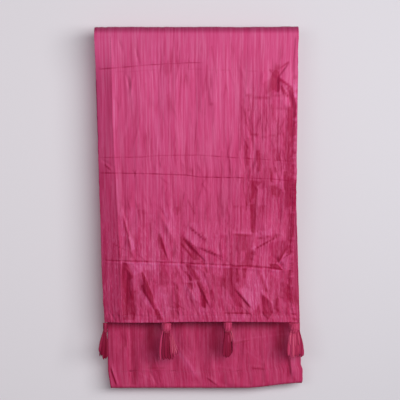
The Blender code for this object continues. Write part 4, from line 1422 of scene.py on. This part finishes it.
def bump(tree, height, distance, strength, normal=None):
    node = add_node(tree, "ShaderNodeBump")
    node.inputs["Strength"].default_value = strength
    node.inputs["Distance"].default_value = distance
    tree.links.new(height, node.inputs["Height"])
    if normal is not None:
        tree.links.new(normal, node.inputs["Normal"])
    return node.outputs["Normal"]


def weave_height(tree, source):
    """Plain weave: crossed threads."""
    waves = []
    for direction in ("X", "Y"):
        wave = add_node(tree, "ShaderNodeTexWave", wave_type="BANDS", bands_direction=direction)
        wave.inputs["Scale"].default_value = 1.0 / WEAVE_PITCH
        wave.inputs["Distortion"].default_value = 0.6
        wave.inputs["Detail"].default_value = 1.0
        tree.links.new(source, wave.inputs["Vector"])
        waves.append(wave.outputs["Fac"])
    return math_node(tree, "MULTIPLY", *waves)


def cloth_colour(tree, uv, colour, middle, crumpled):
    """The sheet's colour: painted light and shade along it, painted highlight dashes, painted shade
    in creases, painted highlights on crests, and painted shade on its fold.
    """
    split = add_node(tree, "ShaderNodeSeparateXYZ")
    tree.links.new(uv, split.inputs["Vector"])
    # Painted light and shade along the cloth's length
    painted_light_along = ramp(tree, math_node(tree, "DIVIDE", split.outputs["Y"], FLAT_LENGTH), LENGTH_PAINTED_LIGHT)
    colour = mix(tree, "MULTIPLY", 1.0, colour, painted_light_along)
    even = mix(tree, "MULTIPLY", 1.0, painted_light_along, middle)
    colour = mix(tree, "MIX", map_range(tree, crumpled, 0.0, 1.0, 0.55, 0.30), colour, even)
    # Painted highlight dashes where the cloth is crumpled
    dash = stretched_noise(tree, uv, *HIGHLIGHT_DASH_NOISE)
    dashes = map_range(tree, dash, 0.54, 0.72, 0.0, 0.50)
    shine = math_node(tree, "MULTIPLY", dashes, crumpled)
    colour = mix(tree, "MIX", shine, colour, HIGHLIGHT_COLOUR)
    # Painted shade and painted highlight from the shading attribute
    level = math_node(tree, "MULTIPLY_ADD", attribute(tree, "painted_shading"), 0.5, 0.5)
    colour = mix(tree, "MULTIPLY", 1.0, colour, ramp(tree, level, PAINTED_SHADING_RAMP))
    # Painted shade on the crown of the top fold
    top_painted_shade = ramp(tree, attribute(tree, "top_fold"), TOP_PAINTED_SHADES)
    return mix(tree, "MULTIPLY", 1.0, colour, top_painted_shade)


def cloth_crinkle(tree, uv, crinkled, crumpled):
    """Height of the sheet's fine crinkles, larger where it is crumpled."""
    amount = math_node(tree, "MULTIPLY_ADD", crumpled, 0.30, 0.42)
    scaled = math_node(tree, "MULTIPLY", crinkled, amount)
    small = stretched_noise(tree, uv, *SMALL_NOISE)
    gathered = math_node(tree, "MULTIPLY", small, crumpled)
    return math_node(tree, "MULTIPLY_ADD", gathered, 1.1, scaled)


def taffeta(name, colours, is_sheet):
    """Crushed taffeta: streaked colour, painted light and shade, fine crinkle and a plain weave."""
    dark, middle, light = colours
    material, tree, shader = new_material(name, middle, 0.42)
    uv = add_node(tree, "ShaderNodeUVMap", uv_map="flat").outputs["UV"]
    streak = stretched_noise(tree, uv, *STREAK_NOISE)
    cloud = stretched_noise(tree, uv, *CLOUD_NOISE)
    colour = ramp(tree, streak, ((0.35, dark), (0.50, middle), (0.65, light)))
    colour = mix(tree, "MULTIPLY", 1.0, colour, ramp(tree, cloud, CLOUD_SHADES))
    crinkled = stretched_noise(tree, uv, *CRINKLE_NOISE)
    if is_sheet:
        crumpled = attribute(tree, "crumpled")
        colour = cloth_colour(tree, uv, colour, middle, crumpled)
        crinkled = cloth_crinkle(tree, uv, crinkled, crumpled)
    else:
        # Painted light and shade of the tassel's strips
        strip_painted_shade = ramp(tree, attribute(tree, "painted_shade"), STRIP_PAINTED_SHADES)
        colour = mix(tree, "MULTIPLY", 1.0, colour, strip_painted_shade)
    tree.links.new(colour, shader.inputs["Base Color"])
    rough = ramp(tree, streak, ((0.3, (0.40, 0.40, 0.40)), (0.7, (0.29, 0.29, 0.29))))
    tree.links.new(rough, shader.inputs["Roughness"])
    shader.inputs["Sheen Weight"].default_value = 0.02
    shader.inputs["Sheen Roughness"].default_value = 0.35
    shader.inputs["Sheen Tint"].default_value = (1.0, 0.62, 0.78, 1.0)
    shader.inputs["Specular IOR Level"].default_value = 0.10
    shader.inputs["Specular Tint"].default_value = (1.0, 0.60, 0.84, 1.0)
    normal = bump(tree, crinkled, *CRINKLE_BUMP)
    normal = bump(tree, stretched_noise(tree, uv, *FINE_NOISE), *FINE_BUMP, normal)
    normal = bump(tree, weave_height(tree, uv), *WEAVE_BUMP, normal)
    tree.links.new(normal, shader.inputs["Normal"])
    return material


def thread(name, dark, light):
    """Spun thread with a twist."""
    material, tree, shader = new_material(name, light, 0.6)
    shader.inputs["Specular IOR Level"].default_value = 0.15
    place = add_node(tree, "ShaderNodeTexCoord").outputs["Object"]
    wave = add_node(tree, "ShaderNodeTexWave", wave_type="BANDS", bands_direction="DIAGONAL")
    wave.inputs["Scale"].default_value = 900.0
    wave.inputs["Distortion"].default_value = 1.5
    tree.links.new(place, wave.inputs["Vector"])
    colour = ramp(tree, wave.outputs["Fac"], ((0.1, dark), (0.8, light)))
    tree.links.new(colour, shader.inputs["Base Color"])
    shader.inputs["Sheen Weight"].default_value = 0.05
    tree.links.new(bump(tree, wave.outputs["Fac"], *TWIST_BUMP), shader.inputs["Normal"])
    return material


def stage_material(name, colours):
    """Pale studio surface that only the camera and reflections see, and only from its front."""
    left_colour, right_colour = colours
    material, tree, shader = new_material(name, left_colour, 1.0)
    shader.inputs["Specular IOR Level"].default_value = 0.0
    place = add_node(tree, "ShaderNodeTexCoord").outputs["Object"]
    split = add_node(tree, "ShaderNodeSeparateXYZ")
    tree.links.new(place, split.inputs["Vector"])
    span = map_range(tree, split.outputs["X"], -STAGE_FADE, STAGE_FADE, 0.0, 1.0)
    colour = ramp(tree, span, ((0.0, left_colour), (1.0, right_colour)))
    tree.links.new(colour, shader.inputs["Base Color"])
    rays = add_node(tree, "ShaderNodeLightPath").outputs
    seen = math_node(tree, "MAXIMUM", rays["Is Camera Ray"], rays["Is Glossy Ray"])
    geometry = add_node(tree, "ShaderNodeNewGeometry")
    front = math_node(tree, "SUBTRACT", 1.0, geometry.outputs["Backfacing"])
    clear = add_node(tree, "ShaderNodeBsdfTransparent")
    blend = add_node(tree, "ShaderNodeMixShader")
    tree.links.new(math_node(tree, "MULTIPLY", seen, front), blend.inputs["Fac"])
    tree.links.new(clear.outputs["BSDF"], blend.inputs[1])
    tree.links.new(shader.outputs["BSDF"], blend.inputs[2])
    tree.links.new(blend.outputs["Shader"], tree.nodes["Material Output"].inputs["Surface"])
    return material


def make_stage():
    """A pale backdrop behind the object and a pale floor below it."""
    half = STAGE_HALF
    ends = ((-half, -half), (half, -half), (half, half), (-half, half))
    pale = stage_material("backdrop_pale", WALL_COLOURS)
    wall = mesh_object("backdrop", [(x, 0.0, z) for x, z in ends], [(0, 1, 2, 3)], pale, False)
    wall.location = (0.0, WALL_Y, FLOOR_Z + half)
    pale = stage_material("floor_pale", FLOOR_COLOURS)
    floor = mesh_object("studio_floor", [(x, y, 0.0) for x, y in ends], [(0, 1, 2, 3)], pale, False)
    floor.location = (0.0, 0.0, FLOOR_Z)


def add_lamp(name, place, wide, tall, power, colour):
    data = bpy.data.lights.new(name, "AREA")
    data.shape = "RECTANGLE"
    data.size = wide
    data.size_y = tall
    data.energy = power
    data.color = colour
    lamp = bpy.data.objects.new(name, data)
    lamp.location = place
    heading = Vector(LIGHT_TARGET) - Vector(place)
    lamp.rotation_euler = heading.to_track_quat("-Z", "Y").to_euler()
    bpy.context.scene.collection.objects.link(lamp)


def make_lights():
    """Soft lamps, and a dim world that the camera sees as pale."""
    for lamp in LAMPS:
        add_lamp(*lamp)
    world = bpy.data.worlds.new("studio")
    bpy.context.scene.world = world
    world.use_nodes = True
    tree = world.node_tree
    dim = tree.nodes["Background"]
    pale = add_node(tree, "ShaderNodeBackground")
    for node, colour, strength in ((dim, WORLD_COLOUR, WORLD_STRENGTH), (pale, SEEN_COLOUR, 1.0)):
        node.inputs["Color"].default_value = (*colour, 1.0)
        node.inputs["Strength"].default_value = strength
    rays = add_node(tree, "ShaderNodeLightPath")
    blend = add_node(tree, "ShaderNodeMixShader")
    tree.links.new(rays.outputs["Is Camera Ray"], blend.inputs["Fac"])
    tree.links.new(dim.outputs["Background"], blend.inputs[1])
    tree.links.new(pale.outputs["Background"], blend.inputs[2])
    tree.links.new(blend.outputs["Shader"], tree.nodes["World Output"].inputs["Surface"])


def make_camera():
    data = bpy.data.cameras.new("camera")
    data.sensor_width = SENSOR
    data.lens = LENS
    camera = bpy.data.objects.new("camera", data)
    camera.location = (CAMERA_X, CAMERA_Y, CAMERA_Z)
    camera.rotation_euler = (math.pi / 2.0, 0.0, 0.0)
    bpy.context.scene.collection.objects.link(camera)
    bpy.context.scene.camera = camera


def main():
    bpy.context.scene.view_settings.view_transform = "Standard"
    make_camera()
    make_lights()
    make_stage()
    cloth_material = taffeta("crushed_taffeta_looks", CLOTH_COLOURS, True)
    strip_material = taffeta("tassel_taffeta_looks", STRIP_COLOURS, False)
    seam_thread = thread("seam_thread_looks", *SEAM_COLOURS)
    neck_thread = thread("binding_thread_looks", *NECK_COLOURS)
    cloth = make_cloth(cloth_material)
    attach(cloth, "root")
    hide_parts("curtain_panel")
    seams = make_stitches(seam_thread)
    for seam in seams:
        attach(seam, "root")
    for number, setting in enumerate(TASSELS, start=1):
        body, winding = make_tassel(number, setting, strip_material, neck_thread)
        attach(body, "root")
        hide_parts("tassel_{}".format(number))
        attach(winding, "root")
        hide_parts("tassel_{}_binding".format(number))


main()
